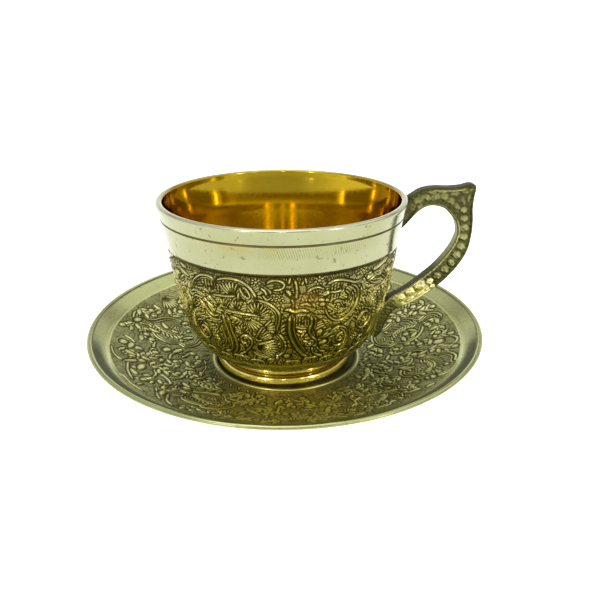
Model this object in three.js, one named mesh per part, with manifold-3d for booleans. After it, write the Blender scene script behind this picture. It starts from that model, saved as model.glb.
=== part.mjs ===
// Chased brass cup and saucer.
// Millimetres, +Z up. The origin is the centre of the saucer's flat underside. The handle points along +X.

import * as THREE from 'three';
import { mergeVertices } from 'three/addons/utils/BufferGeometryUtils.js';
import Module from 'manifold-3d';

const wasm = await Module();
wasm.setup();

// Clearances
const BRAZE_GAP = 0.3;
const STANDING_GAP = 0.1;

// Saucer: a dish of one sheet thickness, with a seat ring, a chased field, a plain border and a rolled edge
const SAUCER_R = 65;
const SAUCER_H = 15.25;
const SAUCER_SHEET = 0.8;
const ROLL_W = 1.6;
const ROLL_T = 1.1;
const BORDER_W = 6.2;
const BORDER_RISE = 2.9;
const SEAT_CLEARANCE = 2.1;
const SEAT_RING_W = 1.1;
const SEAT_RING_H = 0.4;
const DISH_LEVEL_RUN = 12;
const DISH_STEEP_RUN = 9;
const DISH_STEEP_RISE = 3.9;
const SAUCER_FIELD_DEPTH = 0.2;

// Cup: heights are measured from the bottom of its foot
const CUP_H = 56.5;
const CUP_SHIFT_X = -0.75;
const LIP_FLARE = 2.25;
const LIP_W = 2.1;
const LIP_CROWN = 0.6;
const WALL = 1.9;
const FLARE_POWER = 1.3;
const BAND_H = 13.55;
const BAND_R = 37.05;
const GROOVE_DROP = 4.7;
const GROOVE_W = 0.6;
const GROOVE_DEPTH = 0.35;
const FIELD_DEPTH = 0.2;
const FIELD_START_RUN = 2.5;
const NECK_R = 20;
const BELLY_LEVEL_RUN = 11.2;
const BELLY_RISE = 26.6;
const BELLY_TAPER = 3.25;

// Foot ring: a turned ring with a tall bead at the table, a small bead above it and a stem under the bowl
const FOOT_STAND_OUT = 2.9;
const FOOT_WALL = 2;
const FOOT_H = 5.8;
const FOOT_BEAD_W = 1.35;
const FOOT_BEAD_H = 3.5;
const NECK_BEAD_R = 0.5;
const NECK_BEAD_STAND_OUT = 1.2;
const NECK_BEAD_Z = 4.15;

// Handle: a flat casting, drawn in the XZ plane and as thick as HANDLE_T along Y
const HANDLE_T = 4.6;
const HANDLE_REACH = 21.2;
const HANDLE_TOP_RISE = 2.3;
const ROOT_H = 9.6;
const ARM_H = 5.3;
const UPRIGHT_W = 4.4;
const LOWER_W = 4.7;
const SPUR_JOIN_W = 4.9;
const SPUR_W = 3.5;
const SPUR_TIP_W = 2.2;
const SPUR_TIP_RISE = 1.1;
const SPUR_TIP_INSET = 2.2;
const THUMB_W = 12;
const THUMB_RISE = 0.95;
const THUMB_OUT = 0.35;
const EDGE_BEVEL = 0.4;
const CHANNEL_BORDER = 1.05;
const CHANNEL_DEPTH = 0.6;
const CHANNEL_START = 0.26;
const CHANNEL_END = 0.74;
const BEAD_R = 1.1;
const BEAD_PITCH = 2.8;

// Fineness of the faceting
const TURNS = 60;
const CURVE_STEPS = 10;
const BEAD_SIDES = 8;

const CUP_REST_Z = SAUCER_SHEET + STANDING_GAP;
const FOOT_R = NECK_R + FOOT_STAND_OUT;
const FOOT_INNER_R = NECK_R - FOOT_WALL;
const LIP_R = BAND_R + LIP_FLARE;
const SEAT_RING_R = FOOT_R + SEAT_CLEARANCE;
const BAND_Z = CUP_H - BAND_H;
const LIP_Z = CUP_H - LIP_CROWN;
const NECK_Z = FOOT_H + BRAZE_GAP;
const ARM_TOP_Z = CUP_H + HANDLE_TOP_RISE;
const UPRIGHT_X = LIP_R + HANDLE_REACH;

const POLISHED = { color: 0xc9b877, roughness: 0.22, metalness: 1 };
const CHASED = { color: 0xa58f45, roughness: 0.38, metalness: 1 };
const CAST = { color: 0x8c7d45, roughness: 0.45, metalness: 1 };

function bezier(p0, p1, p2, p3, steps) {
  const ends = [p0, p1, p2, p3].map(([x, y]) => new THREE.Vector2(x, y));
  return new THREE.CubicBezierCurve(...ends).getPoints(steps);
}

// Points of an elliptical arc in the profile plane, from angle a0 to a1 in degrees
function arc(cx, cy, rx, ry, a0, a1, steps) {
  return Array.from({ length: steps + 1 }, (_, i) => {
    const a = THREE.MathUtils.degToRad(a0 + ((a1 - a0) * i) / steps);
    return new THREE.Vector2(cx + rx * Math.cos(a), cy + ry * Math.sin(a));
  });
}

// A curve moved sideways by a distance, to its left when that is positive
function offset(points, distance) {
  return points.map((p, i) => {
    const before = points[Math.max(i - 1, 0)];
    const after = points[Math.min(i + 1, points.length - 1)];
    const along = after.clone().sub(before).normalize();
    return new THREE.Vector2(p.x - along.y * distance, p.y + along.x * distance);
  });
}

function dropRepeats(points) {
  return points.filter((p, i) => i === 0 || p.distanceTo(points[i - 1]) > 1e-3);
}

// Turns a profile of (radius, height) points about the Z axis
function turned(profile) {
  const geometry = new THREE.LatheGeometry(dropRepeats(profile), TURNS);
  return geometry.rotateX(Math.PI / 2);
}

function toSolid(geometry) {
  const bare = geometry.index ? geometry.toNonIndexed() : geometry.clone();
  bare.deleteAttribute('normal');
  bare.deleteAttribute('uv');
  const merged = mergeVertices(bare, 1e-4);
  const corners = merged.index.array;
  const kept = [];
  for (let i = 0; i < corners.length; i += 3) {
    const [a, b, c] = corners.slice(i, i + 3);
    if (a !== b && b !== c && c !== a) kept.push(a, b, c);
  }
  const mesh = new wasm.Mesh({
    numProp: 3,
    vertProperties: new Float32Array(merged.attributes.position.array),
    triVerts: new Uint32Array(kept),
  });
  return new wasm.Manifold(mesh);
}

function toGeometry(solid) {
  const mesh = solid.getMesh();
  const geometry = new THREE.BufferGeometry();
  geometry.setAttribute('position', new THREE.BufferAttribute(mesh.vertProperties, 3));
  geometry.setIndex(new THREE.BufferAttribute(mesh.triVerts, 1));
  return geometry;
}

function named(name, geometry, finish) {
  const mesh = new THREE.Mesh(geometry, new THREE.MeshStandardMaterial(finish));
  mesh.name = name;
  return mesh;
}

// The saucer's chased field, from the seat ring out to the plain border
function dishCurve() {
  const start = [SEAT_RING_R + SEAT_RING_W / 2, SAUCER_SHEET];
  const end = [SAUCER_R - BORDER_W, SAUCER_H - ROLL_T / 2 - BORDER_RISE];
  const level = [start[0] + DISH_LEVEL_RUN, start[1]];
  const steep = [end[0] - DISH_STEEP_RUN, end[1] - DISH_STEEP_RISE];
  return bezier(start, level, steep, end, CURVE_STEPS);
}

// The plain border, from the edge of the field up to the rolled edge
function borderCurve() {
  const start = new THREE.Vector2(SAUCER_R - BORDER_W, SAUCER_H - ROLL_T / 2 - BORDER_RISE);
  const end = new THREE.Vector2(SAUCER_R - ROLL_W, SAUCER_H - ROLL_T / 2);
  return [0, 0.5, 1].map((share) => start.clone().lerp(end, share));
}

function saucerDish() {
  const field = dishCurve();
  const border = borderCurve();
  const sunk = offset(field, -SAUCER_FIELD_DEPTH).slice(1, -1);
  const under = offset([...field, ...border.slice(1)], -SAUCER_SHEET).slice(1, -1);
  const roll = arc(SAUCER_R - ROLL_W / 2, SAUCER_H - ROLL_T / 2, ROLL_W / 2, ROLL_T / 2, -90, 180, 7);
  const ring = arc(SEAT_RING_R, SAUCER_SHEET, SEAT_RING_W / 2, SEAT_RING_H, 0, 180, 4);
  const profile = [
    new THREE.Vector2(0, 0),
    new THREE.Vector2(field[0].x, 0),
    ...under,
    ...roll,
    ...border.slice(0, -1).reverse(),
    ...sunk.reverse(),
    ...ring,
    new THREE.Vector2(0, SAUCER_SHEET),
  ];
  return named('saucer_dish', turned(profile), CHASED);
}

// The belly's outer curve, from the neck up to the plain band
function bellyCurve() {
  const neck = [NECK_R, NECK_Z];
  const level = [NECK_R + BELLY_LEVEL_RUN, NECK_Z];
  const upper = [BAND_R - BELLY_TAPER, BAND_Z - BELLY_RISE];
  return bezier(neck, level, upper, [BAND_R, BAND_Z], CURVE_STEPS);
}

// The bowl's outer radius at a height on its belly
function bellyRadius(z) {
  const curve = bellyCurve();
  const next = curve.findIndex((p) => p.y > z);
  const high = next > 0 ? curve[next] : curve[curve.length - 1];
  const low = curve[curve.indexOf(high) - 1];
  return THREE.MathUtils.mapLinear(z, low.y, high.y, low.x, high.x);
}

function flareRadius(z) {
  const share = (z - BAND_Z) / (LIP_Z - BAND_Z);
  return BAND_R + (LIP_R - BAND_R) * Math.max(share, 0) ** FLARE_POWER;
}

// The plain band's outer curve, from the chased field up to the lip
function bandCurve() {
  const steps = Math.ceil(CURVE_STEPS / 2);
  return Array.from({ length: steps + 1 }, (_, i) => {
    const z = THREE.MathUtils.lerp(BAND_Z, LIP_Z, i / steps);
    return new THREE.Vector2(flareRadius(z), z);
  });
}

// The band with its turned groove let in
function groovedBand() {
  const middle = CUP_H - GROOVE_DROP;
  const low = middle - GROOVE_W / 2;
  const high = middle + GROOVE_W / 2;
  const groove = [
    new THREE.Vector2(flareRadius(low), low),
    new THREE.Vector2(flareRadius(middle) - GROOVE_DEPTH, middle),
    new THREE.Vector2(flareRadius(high), high),
  ];
  const below = bandCurve().filter((p) => p.y < low - GROOVE_W / 4);
  const above = bandCurve().filter((p) => p.y > high + GROOVE_W / 4);
  return [...below, ...groove, ...above];
}

function cupBowl() {
  const belly = bellyCurve();
  const plain = belly.filter((p) => p.x < NECK_R + FIELD_START_RUN);
  const sunk = offset(belly, FIELD_DEPTH).slice(plain.length);
  sunk[sunk.length - 1].y = BAND_Z - FIELD_DEPTH;
  const lip = arc(LIP_R - LIP_W / 2, LIP_Z, LIP_W / 2, LIP_CROWN, 0, 180, 6);
  const inner = offset([...belly, ...bandCurve().slice(1, -1)], WALL).reverse();
  const profile = [
    new THREE.Vector2(0, NECK_Z),
    ...plain,
    ...sunk,
    ...groovedBand(),
    ...lip.slice(1),
    ...inner,
    new THREE.Vector2(0, NECK_Z + WALL),
  ];
  return named('cup_bowl', turned(profile), POLISHED);
}

function cupFootRing() {
  const bead = arc(FOOT_R - FOOT_BEAD_W, FOOT_BEAD_H / 2, FOOT_BEAD_W, FOOT_BEAD_H / 2, -90, 90, 8);
  const neckBeadR = NECK_R + NECK_BEAD_STAND_OUT - NECK_BEAD_R;
  const neckBead = arc(neckBeadR, NECK_BEAD_Z, NECK_BEAD_R, NECK_BEAD_R, -60, 90, 4);
  const profile = [
    new THREE.Vector2(FOOT_INNER_R, 0),
    ...bead,
    ...neckBead,
    new THREE.Vector2(NECK_R, FOOT_H),
    new THREE.Vector2(FOOT_INNER_R, FOOT_H),
    new THREE.Vector2(FOOT_INNER_R, 0),
  ];
  return named('cup_foot_ring', turned(profile), POLISHED);
}

// The outside of the bowl, grown by the braze's gap, that the handle is fitted against
function wallEnvelope() {
  const wall = offset([...bellyCurve(), ...bandCurve().slice(1)], -BRAZE_GAP);
  const innerLipR = LIP_R - LIP_W / 2;
  const profile = [
    new THREE.Vector2(0, 0),
    new THREE.Vector2(NECK_R, 0),
    ...wall,
    new THREE.Vector2(innerLipR, CUP_H + BRAZE_GAP),
    new THREE.Vector2(innerLipR, ARM_TOP_Z + THUMB_RISE),
    new THREE.Vector2(0, ARM_TOP_Z + THUMB_RISE),
  ];
  return toSolid(turned(profile));
}

// The handle's centre line from its root to its spur, with its width at each point.
// Places are shares of the reach from the lip to the upright and of the drop from the arm to the spur's tip.
// The spur is placed by how far its middle stands off the belly.
function handleSpine() {
  const armZ = ARM_TOP_Z - ARM_H / 2;
  const tipZ = NECK_Z + SPUR_TIP_RISE;
  const reach = UPRIGHT_X - UPRIGHT_W / 2 - LIP_R;
  const height = (down) => THREE.MathUtils.lerp(armZ, tipZ, down);
  const at = (out, down, width) => new THREE.Vector3(LIP_R + reach * out, height(down), width);
  const offWall = (standOff, down, width) => {
    return new THREE.Vector3(bellyRadius(height(down)) + standOff, height(down), width);
  };
  const root = [at(-0.15, 0.13, ROOT_H), at(0.12, 0.06, (ROOT_H + ARM_H) / 2.2)];
  const arm = [at(0.3, 0.008, ARM_H), at(0.5, 0, ARM_H)];
  const corner = [at(0.79, 0.06, ARM_H)];
  const upright = [at(0.985, 0.176, UPRIGHT_W), at(1, 0.288, UPRIGHT_W), at(0.92, 0.404, UPRIGHT_W)];
  const lower = [at(0.71, 0.526, LOWER_W), at(0.479, 0.609, LOWER_W), at(0.168, 0.693, LOWER_W)];
  const join = [offWall(LOWER_W * 0.93, 0.737, SPUR_JOIN_W), offWall(SPUR_JOIN_W * 0.42, 0.805, SPUR_JOIN_W)];
  const spur = [
    offWall(SPUR_W * 0.7, 0.88, SPUR_W),
    new THREE.Vector3(bellyRadius(height(0.737)) - SPUR_TIP_INSET, tipZ, SPUR_TIP_W),
  ];
  return new THREE.CatmullRomCurve3([...root, ...arm, ...corner, ...upright, ...lower, ...join, ...spur]);
}

// The flat outline of the spine between two shares of its length, narrowed by a border on each side
function ribbon(from, to, steps, border) {
  const spine = handleSpine();
  const left = [];
  const right = [];
  for (let i = 0; i <= steps; i += 1) {
    const t = THREE.MathUtils.lerp(from, to, i / steps);
    const p = spine.getPointAt(t);
    const along = spine.getTangentAt(t).setZ(0).normalize();
    const half = p.z / 2 - border;
    left.push(new THREE.Vector2(p.x - along.y * half, p.y + along.x * half));
    right.push(new THREE.Vector2(p.x + along.y * half, p.y - along.x * half));
  }
  return new THREE.Shape([...left, ...right.reverse()]);
}

// The upswept thumb point at the handle's outer upper corner
function thumbPoint() {
  const startX = UPRIGHT_X - THUMB_W;
  const endZ = ARM_TOP_Z - ARM_H * 2.6;
  const crestZ = ARM_TOP_Z + THUMB_RISE;
  const shape = new THREE.Shape();
  shape.moveTo(startX, ARM_TOP_Z - ARM_H / 2);
  shape.lineTo(startX, ARM_TOP_Z);
  shape.quadraticCurveTo(startX + THUMB_W * 0.6, ARM_TOP_Z - THUMB_RISE / 2, UPRIGHT_X - THUMB_W / 5, crestZ);
  shape.quadraticCurveTo(UPRIGHT_X, crestZ, UPRIGHT_X + THUMB_OUT, ARM_TOP_Z);
  shape.quadraticCurveTo(UPRIGHT_X - THUMB_OUT, ARM_TOP_Z - ARM_H / 2, UPRIGHT_X, endZ);
  shape.lineTo(UPRIGHT_X - UPRIGHT_W / 2, endZ);
  return shape;
}

// Extrudes an outline in the XZ plane, centred on the plane y = middle
function plate(shape, thickness, middle, bevel) {
  const geometry = new THREE.ExtrudeGeometry(shape, {
    depth: thickness - 2 * bevel,
    bevelEnabled: bevel > 0,
    bevelThickness: bevel,
    bevelSize: bevel,
    bevelOffset: -bevel,
    bevelSegments: 2,
    curveSegments: 5,
  });
  geometry.rotateX(Math.PI / 2);
  geometry.translate(0, middle + thickness / 2 - bevel, 0);
  return toSolid(geometry);
}

// One raised bead on each side face, at a share of the spine's length
function beadPair(t) {
  const centre = handleSpine().getPointAt(t);
  const sink = HANDLE_T / 2 - BEAD_R;
  return [-sink, sink].map((y) => {
    const ball = new THREE.SphereGeometry(BEAD_R, BEAD_SIDES, BEAD_SIDES / 2 + 1);
    return toSolid(ball.translate(centre.x, y, centre.y));
  });
}

function cupHandle() {
  const blank = plate(ribbon(0, 1, 36, 0), HANDLE_T, 0, EDGE_BEVEL);
  let handle = blank.add(plate(thumbPoint(), HANDLE_T, 0, EDGE_BEVEL));
  const channel = ribbon(CHANNEL_START, CHANNEL_END, 20, CHANNEL_BORDER);
  for (const side of [-1, 1]) {
    handle = handle.subtract(plate(channel, CHANNEL_DEPTH * 2, (side * HANDLE_T) / 2, 0));
  }
  const length = handleSpine().getLength() * (CHANNEL_END - CHANNEL_START);
  const count = Math.floor(length / BEAD_PITCH);
  for (let i = 0; i < count; i += 1) {
    const share = THREE.MathUtils.lerp(CHANNEL_START, CHANNEL_END, (i + 0.5) / count);
    for (const bead of beadPair(share)) {
      handle = handle.add(bead);
    }
  }
  return named('cup_handle', toGeometry(handle.subtract(wallEnvelope())), CAST);
}

const cup = new THREE.Group();
cup.position.set(CUP_SHIFT_X, 0, CUP_REST_Z);
cup.add(cupBowl(), cupFootRing(), cupHandle());

const group = new THREE.Group();
group.add(saucerDish(), cup);

export default group;
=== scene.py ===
import math

import bpy
import numpy as np
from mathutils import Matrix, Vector


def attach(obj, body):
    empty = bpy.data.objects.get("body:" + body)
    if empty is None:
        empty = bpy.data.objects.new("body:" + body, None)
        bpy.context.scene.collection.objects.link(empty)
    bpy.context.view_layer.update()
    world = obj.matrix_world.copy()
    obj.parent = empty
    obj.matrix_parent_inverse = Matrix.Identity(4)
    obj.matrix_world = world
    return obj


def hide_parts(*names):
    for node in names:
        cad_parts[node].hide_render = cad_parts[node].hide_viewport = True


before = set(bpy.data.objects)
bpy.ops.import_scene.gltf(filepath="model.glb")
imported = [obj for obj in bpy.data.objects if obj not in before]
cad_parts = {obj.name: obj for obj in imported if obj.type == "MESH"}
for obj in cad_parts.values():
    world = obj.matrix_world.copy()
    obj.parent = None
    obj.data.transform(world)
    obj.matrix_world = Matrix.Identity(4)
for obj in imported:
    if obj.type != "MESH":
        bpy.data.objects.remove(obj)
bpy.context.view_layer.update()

# Sizes, in millimetres, as in the solids. Cup heights are from the bottom of its foot.
SAUCER_R = 65.0
SAUCER_H = 15.25
SHEET = 0.8
ROLL_W = 1.6
ROLL_T = 1.1
BORDER_W = 6.2
BORDER_RISE = 2.9
SEAT_RING_R = 24.4
SEAT_RING_W = 0.9
SEAT_RING_H = 0.4
CUP_H = 56.5
CUP_X = -0.75
CUP_Z = 0.9
LIP_R = 39.3
LIP_W = 2.1
LIP_CROWN = 0.6
WALL = 1.9
BAND_R = 37.05
BAND_Z = 42.95
LIP_Z = CUP_H - LIP_CROWN
GROOVE_Z = CUP_H - 4.7
GROOVE_HALF = 0.3
GROOVE_DEPTH = 0.35
NECK_R = 20.0
NECK_Z = 6.1
FOOT_R = 22.9
FOOT_H = 5.8
HANDLE_T = 4.6
# The rounding of the handle's rims, and how deep its faces are sunk
ROUND_R = 0.75
BED_DEPTH = 0.5
# The roughness of brass rubbed bright
RUBBED_ROUGH = 0.24

# The chased field on the cup: one third of the way round is drawn, and repeats
MODULE_DEG = 120.0
CHART_R = 35.0
# The drawing's millimetres for each degree round the cup
DEGREE = math.radians(1) * CHART_R
FIELD_LOW = 10.8
FIELD_HIGH = BAND_Z - 0.25
# The relief's depth, and the heights in a drawing, between 0 and 1, of the ground, of the plain metal
# beside the field, and from which a form stands there already
RELIEF = 0.6
SAUCER_RELIEF = 0.4
GROUND = 0.55
PLAIN = 0.85
TAKEN = 0.6
# How near its axis a turned face begins, as a share of its radius
AXIS = 0.0005
# A distance longer than any in the drawings
FAR = 1e9

rng = np.random.default_rng(7)


def smooth(x):
    x = np.clip(x, 0, 1)
    return x * x * (3 - 2 * x)


def bezier(p, n):
    t = np.linspace(0, 1, n)[:, None]
    p = np.array(p, float)
    return (1 - t) ** 3 * p[0] + 3 * (1 - t) ** 2 * t * p[1] + 3 * (1 - t) * t * t * p[2] + t ** 3 * p[3]


def spline(points, per=6):
    """A smooth curve through the points."""
    p = np.array(points, float)
    if len(p) < 3:
        return p
    p = np.vstack([2 * p[0] - p[1], p, 2 * p[-1] - p[-2]])
    t = np.linspace(0, 1, per, endpoint=False)[:, None]
    out = []
    for a, b, c, d in zip(p, p[1:], p[2:], p[3:]):
        out.append(0.5 * (2 * b + (c - a) * t + (2 * a - 5 * b + 4 * c - d) * t ** 2
                          + (3 * b - a - 3 * c + d) * t ** 3))
    return np.vstack(out + [p[-2]])


def arc(cx, cy, rx, ry, a0, a1, n):
    a = np.radians(np.linspace(a0, a1, n))
    return np.stack([cx + rx * np.cos(a), cy + ry * np.sin(a)], 1)


def shifted(points, distance):
    """A curve moved sideways, to its left when the distance is positive."""
    p = np.array(points, float)
    along = np.gradient(p, axis=0)
    along /= np.linalg.norm(along, axis=1)[:, None] + 1e-12
    return p + np.stack([-along[:, 1], along[:, 0]], 1) * distance


def distances(points):
    """How far along a curve each of its points lies."""
    return np.r_[0, np.cumsum(np.linalg.norm(np.diff(points, axis=0), axis=1))]


def resample(points, pitch):
    """Points evenly spaced along a curve."""
    run = distances(points)
    s = np.linspace(0, run[-1], max(int(round(run[-1] / pitch)), 2) + 1)
    return np.stack([np.interp(s, run, points[:, k]) for k in (0, 1)], 1)


def toward(angle):
    """The cosine and sine of an angle in degrees."""
    return math.cos(math.radians(angle)), math.sin(math.radians(angle))


def local(gx, gy, x, y, angle):
    """How far places lie along and across a direction, from the point (x, y)."""
    ca, sa = toward(angle)
    return (gx - x) * ca + (gy - y) * sa, (gy - y) * ca - (gx - x) * sa


def kept_ground(distance, moat):
    """The share of the ground's height that stays beside a form, outside the line cut round it."""
    return smooth((distance - moat * 0.3) / moat)


class Relief:
    """A drawing of raised strokes over a ground, as heights between 0 and 1 on a fine grid."""

    def __init__(self, x0, x1, y0, y1, scale, cell, pitch, floor, unit=1.0, period=None):
        self.x0 = x0
        self.y0 = y0
        self.scale = scale
        self.unit = unit
        self.period = period
        self.nx = int(round((x1 - x0) * scale))
        self.ny = int(round((y1 - y0) * scale)) + 1
        self.h = self.ground(cell, pitch, floor)

    def ground(self, cell, pitch, floor):
        """Packed cells of petals, hatching or veined leaves, with a cut line round each petal."""
        cols = max(int(round(self.nx / self.scale / cell)), 1)
        wide = self.nx / self.scale / cols
        rows = int(math.ceil(self.ny / self.scale / cell)) + 1
        jitter = rng.random((rows, cols, 2)) * 0.8 + 0.1
        kind = rng.integers(0, 4, (rows, cols))
        turn = rng.random((rows, cols)) * 2 * math.pi
        gx, gy = np.meshgrid(np.arange(self.nx) / self.scale, np.arange(self.ny) / self.scale)
        ci = (gx / wide).astype(int)
        cj = (gy / cell).astype(int)
        near = second = np.full(gx.shape, FAR)
        found = [near] * 4
        for dj in (-1, 0, 1):
            for di in (-1, 0, 1):
                row = np.clip(cj + dj, 0, rows - 1)
                col = (ci + di) % cols
                dx = gx - (ci + di + jitter[row, col, 0]) * wide
                dy = gy - (cj + dj + jitter[row, col, 1]) * cell
                d = np.hypot(dx, dy)
                closer = d < near
                second = np.where(closer, near, np.minimum(second, d))
                near = np.where(closer, d, near)
                here = (dx, dy, kind[row, col], turn[row, col])
                found = [np.where(closer, new, old) for new, old in zip(here, found)]
        ox, oy, sort, phase = found
        u = ox * np.cos(phase) + oy * np.sin(phase)
        v = oy * np.cos(phase) - ox * np.sin(phase)

        def ridges(angle):
            return np.abs(np.cos(angle)) ** 0.8

        petals = ridges(np.arctan2(oy, ox) * 4 + phase) * smooth((near - 0.35) / 0.25)
        petals = np.where(near < 0.5, smooth((0.5 - near) / 0.18), petals)
        fan = ridges(np.arctan2(v, u + cell * 0.55) * 9)
        hatch = ridges(u * math.pi / pitch + 0.35 * np.sin(v * 1.7))
        leaf = ridges((np.abs(v) * 0.9 + u * 0.75) * math.pi / pitch) * smooth((np.abs(v) - 0.1) / 0.15)
        h = np.choose(sort.astype(int), [petals, fan, hatch, leaf])
        h = np.minimum(h, smooth((second - near - 0.12) / 0.5) ** 0.7)
        return GROUND * (floor + (1 - floor) * h)

    def paint(self, low, high, field):
        """Raises the grid to field(x, y) inside a box, and again one period away."""
        for dx in (0,) if self.period is None else (-self.period, 0, self.period):
            i0 = max(int(math.floor((low[0] + dx - self.x0) * self.scale)), 0)
            i1 = min(int(math.ceil((high[0] + dx - self.x0) * self.scale)) + 1, self.nx)
            j0 = max(int(math.floor((low[1] - self.y0) * self.scale)), 0)
            j1 = min(int(math.ceil((high[1] - self.y0) * self.scale)) + 1, self.ny)
            if i0 < i1 and j0 < j1:
                x = self.x0 + np.arange(i0, i1) / self.scale - dx
                y = self.y0 + np.arange(j0, j1) / self.scale
                raised, kept = field(*np.meshgrid(x, y))
                part = self.h[j0:j1, i0:i1]
                part[:] = np.maximum(part * kept, raised)

    def stroke(self, points, width, height=1.0, taper=(0.0, 0.0), moat=0.35):
        """A raised line with a rounded back and a cut groove along both of its sides."""
        p = np.array(points, float)
        run = distances(p)
        run /= max(run[-1], 1e-9)
        half = np.full(len(p), width / 2)
        for share, inward in zip(taper, (run, 1 - run)):
            if share > 0:
                half = np.minimum(half, width / 2 * (0.25 + 0.75 * smooth(inward / share)))
        reach = width / 2 + moat + 0.2

        def field(gx, gy):
            best = np.full(gx.shape, FAR)
            for a, b, ha, hb in zip(p, p[1:], half, half[1:]):
                ab = b - a
                t = ((gx - a[0]) * ab[0] + (gy - a[1]) * ab[1]) / max(ab @ ab, 1e-9)
                t = np.clip(t, 0, 1)
                d = np.hypot(gx - a[0] - t * ab[0], gy - a[1] - t * ab[1]) - (ha + t * (hb - ha))
                best = np.minimum(best, d)
            return height * smooth(-best / (width * 0.5)) ** 0.6, kept_ground(best, moat)

        self.paint(p.min(0) - reach, p.max(0) + reach, field)

    def petal(self, x, y, angle, length, width, height=1.0, moat=0.25):
        """A raised leaf from (x, y) along an angle in degrees, widest past its middle."""
        tip = np.array([x, y]) + length * np.array(toward(angle))
        reach = width / 2 + moat + 0.2

        def field(gx, gy):
            u, v = local(gx, gy, x, y, angle)
            span = np.clip(u / length, 0, 1)
            half = width / 2 * np.sqrt(np.clip(np.sin(np.pi * span ** 0.75), 0, 1))
            d = np.hypot(v, u - span * length) - half
            return height * smooth(-d / (width * 0.42)) ** 0.6, kept_ground(d, moat)

        self.paint(np.minimum((x, y), tip) - reach, np.maximum((x, y), tip) + reach, field)

    def boss(self, x, y, rx, ry, angle=0, height=1.0, moat=0.3):
        """A raised oval with a rounded top."""
        small = min(rx, ry)
        reach = max(rx, ry) + moat + 0.2

        def field(gx, gy):
            u, v = local(gx, gy, x, y, angle)
            d = (np.hypot(u / rx, v / ry) - 1) * small
            return height * smooth(-d / (small * 0.8)) ** 0.55, kept_ground(d, moat)

        self.paint((x - reach, y - reach), (x + reach, y + reach), field)

    def fan(self, x, y, r0, r1, a0, a1, n, width, droop=0.0):
        """A spread of hatched petals about a point, between two angles."""
        for k in range(n):
            share = (k + 0.5) / n
            a = a0 + (a1 - a0) * share
            ca, sa = toward(a)
            length = r1 - droop * (2 * share - 1) ** 2 - r0
            self.petal(x + r0 * ca, y + r0 * sa, a, length, width, 0.95)

    def rosette(self, x, y, r, n=7):
        """A flower of n petals round a boss."""
        for k in range(n):
            self.petal(x, y, 360 * k / n + 90, r, 2.3 * r / n + 0.25, 0.95, 0.16)
        self.boss(x, y, r * 0.36, r * 0.36, 0, 1.0, 0.2)

    def line(self, width, *points, high=1.0, ends=0.12, moat=0.3):
        """A smooth raised line through points of the chart, which has its own unit across."""
        taper = ends if isinstance(ends, tuple) else (ends, ends)
        self.stroke(spline(np.array(points) * (self.unit, 1)), width, high, taper, moat)

    def each(self, form, *rows):
        """Forms of one kind, one after another, each at a point of the chart."""
        for x, *shape in rows:
            form(x * self.unit, *shape)

    def feather(self, points, width, pitch, length, side=1, lean=60):
        """Hatched barbs that lean off one side of a curve."""
        p = spline(points, 10)
        run = distances(p)
        start = width / 2 + 0.15
        for s in np.arange(pitch / 2, run[-1], pitch):
            (xa, x, xb), (ya, y, yb) = (np.interp((s - 0.2, s, s + 0.2), run, p[:, k]) for k in (0, 1))
            a = math.degrees(math.atan2(yb - ya, xb - xa)) + side * lean
            ca, sa = toward(a)
            self.petal(x + start * ca, y + start * sa, a, length, pitch * 0.72, 0.9, 0.16)

    def scroll(self, x, y, r, turns, start, width, side=1):
        """A spiral that winds in to a small boss."""
        t = np.linspace(0, 1, int(14 * turns) + 6)
        a = np.radians(start) + side * 2 * math.pi * turns * t
        rr = r * (1 - 0.78 * t)
        self.stroke(np.stack([x + rr * np.cos(a), y + rr * np.sin(a)], 1), width, 1.0, (0.2, 0))
        self.boss(x, y, width * 0.75, width * 0.75, 0, 1.0, 0.12)

    def free(self, x, y, allowed):
        """Whether a row of points lies where forms may stand and none stands yet."""
        return allowed(x, y).all() and self.at(x, y).max() <= TAKEN

    def sprays(self, count, low, high, length, allowed):
        """Curling stems with leaves on both sides and a berry at the tip, wherever the ground is free."""
        step = 0.6
        across = np.linspace(-2.1, 2.1, 5)
        for k in range(count):
            x, y = low + rng.random(2) * (high - low)
            heading = 2 * math.pi * rng.random()
            bend = (0.09 + 0.13 * rng.random()) * (1 if k % 2 else -1)
            stem = [(x, y, heading)]
            for j in range(int(length / step)):
                x += step * math.cos(heading)
                y += step * math.sin(heading)
                if not self.free(x - across * math.sin(heading), y + across * math.cos(heading), allowed):
                    break
                heading += bend * (1 + 0.09 * j) * step
                stem.append((x, y, heading))
            if len(stem) < 8:
                continue
            self.stroke(np.array(stem)[:, :2], 1.15, 1.0, (0.15, 0.25), 0.3)
            for j in range(1, len(stem) - 2, 4):
                x, y, heading = stem[j]
                size = 3.7 - 1.5 * j / len(stem)
                for side in (-1, 1):
                    off = side * 0.5
                    self.petal(x - off * math.sin(heading), y + off * math.cos(heading),
                               math.degrees(heading) + side * 42, size, 0.56 * size, 0.96, 0.22)
            self.boss(*stem[-1][:2], 1.3, 1.3)

    def leaves(self, count, low, high, length, width, allowed):
        """Leaves and berries that follow the sway of the ornament, wherever no form stands yet."""
        spots = low + rng.random((count, 2)) * (high - low)
        sway = rng.random(count) * 50 - 25
        sizes = 0.75 + 0.6 * rng.random(count)
        for k, ((x, y), turn, size) in enumerate(zip(spots, sway, sizes)):
            turn += 150 * math.sin(x / 6.3 + 1.1) + 130 * math.cos(y / 5.7 - 0.6)
            ca, sa = toward(turn)
            long = length * size
            wide = width * size
            along = np.linspace(-0.12, 1.12, 5) * long
            if not self.free(x + along * ca, y + along * sa, allowed):
                continue
            if k % 3:
                self.petal(x, y, turn, long, wide, 0.95, 0.35)
            else:
                self.boss(x + long / 2 * ca, y + long / 2 * sa, wide * 0.75, wide / 2, turn, 0.95)

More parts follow.
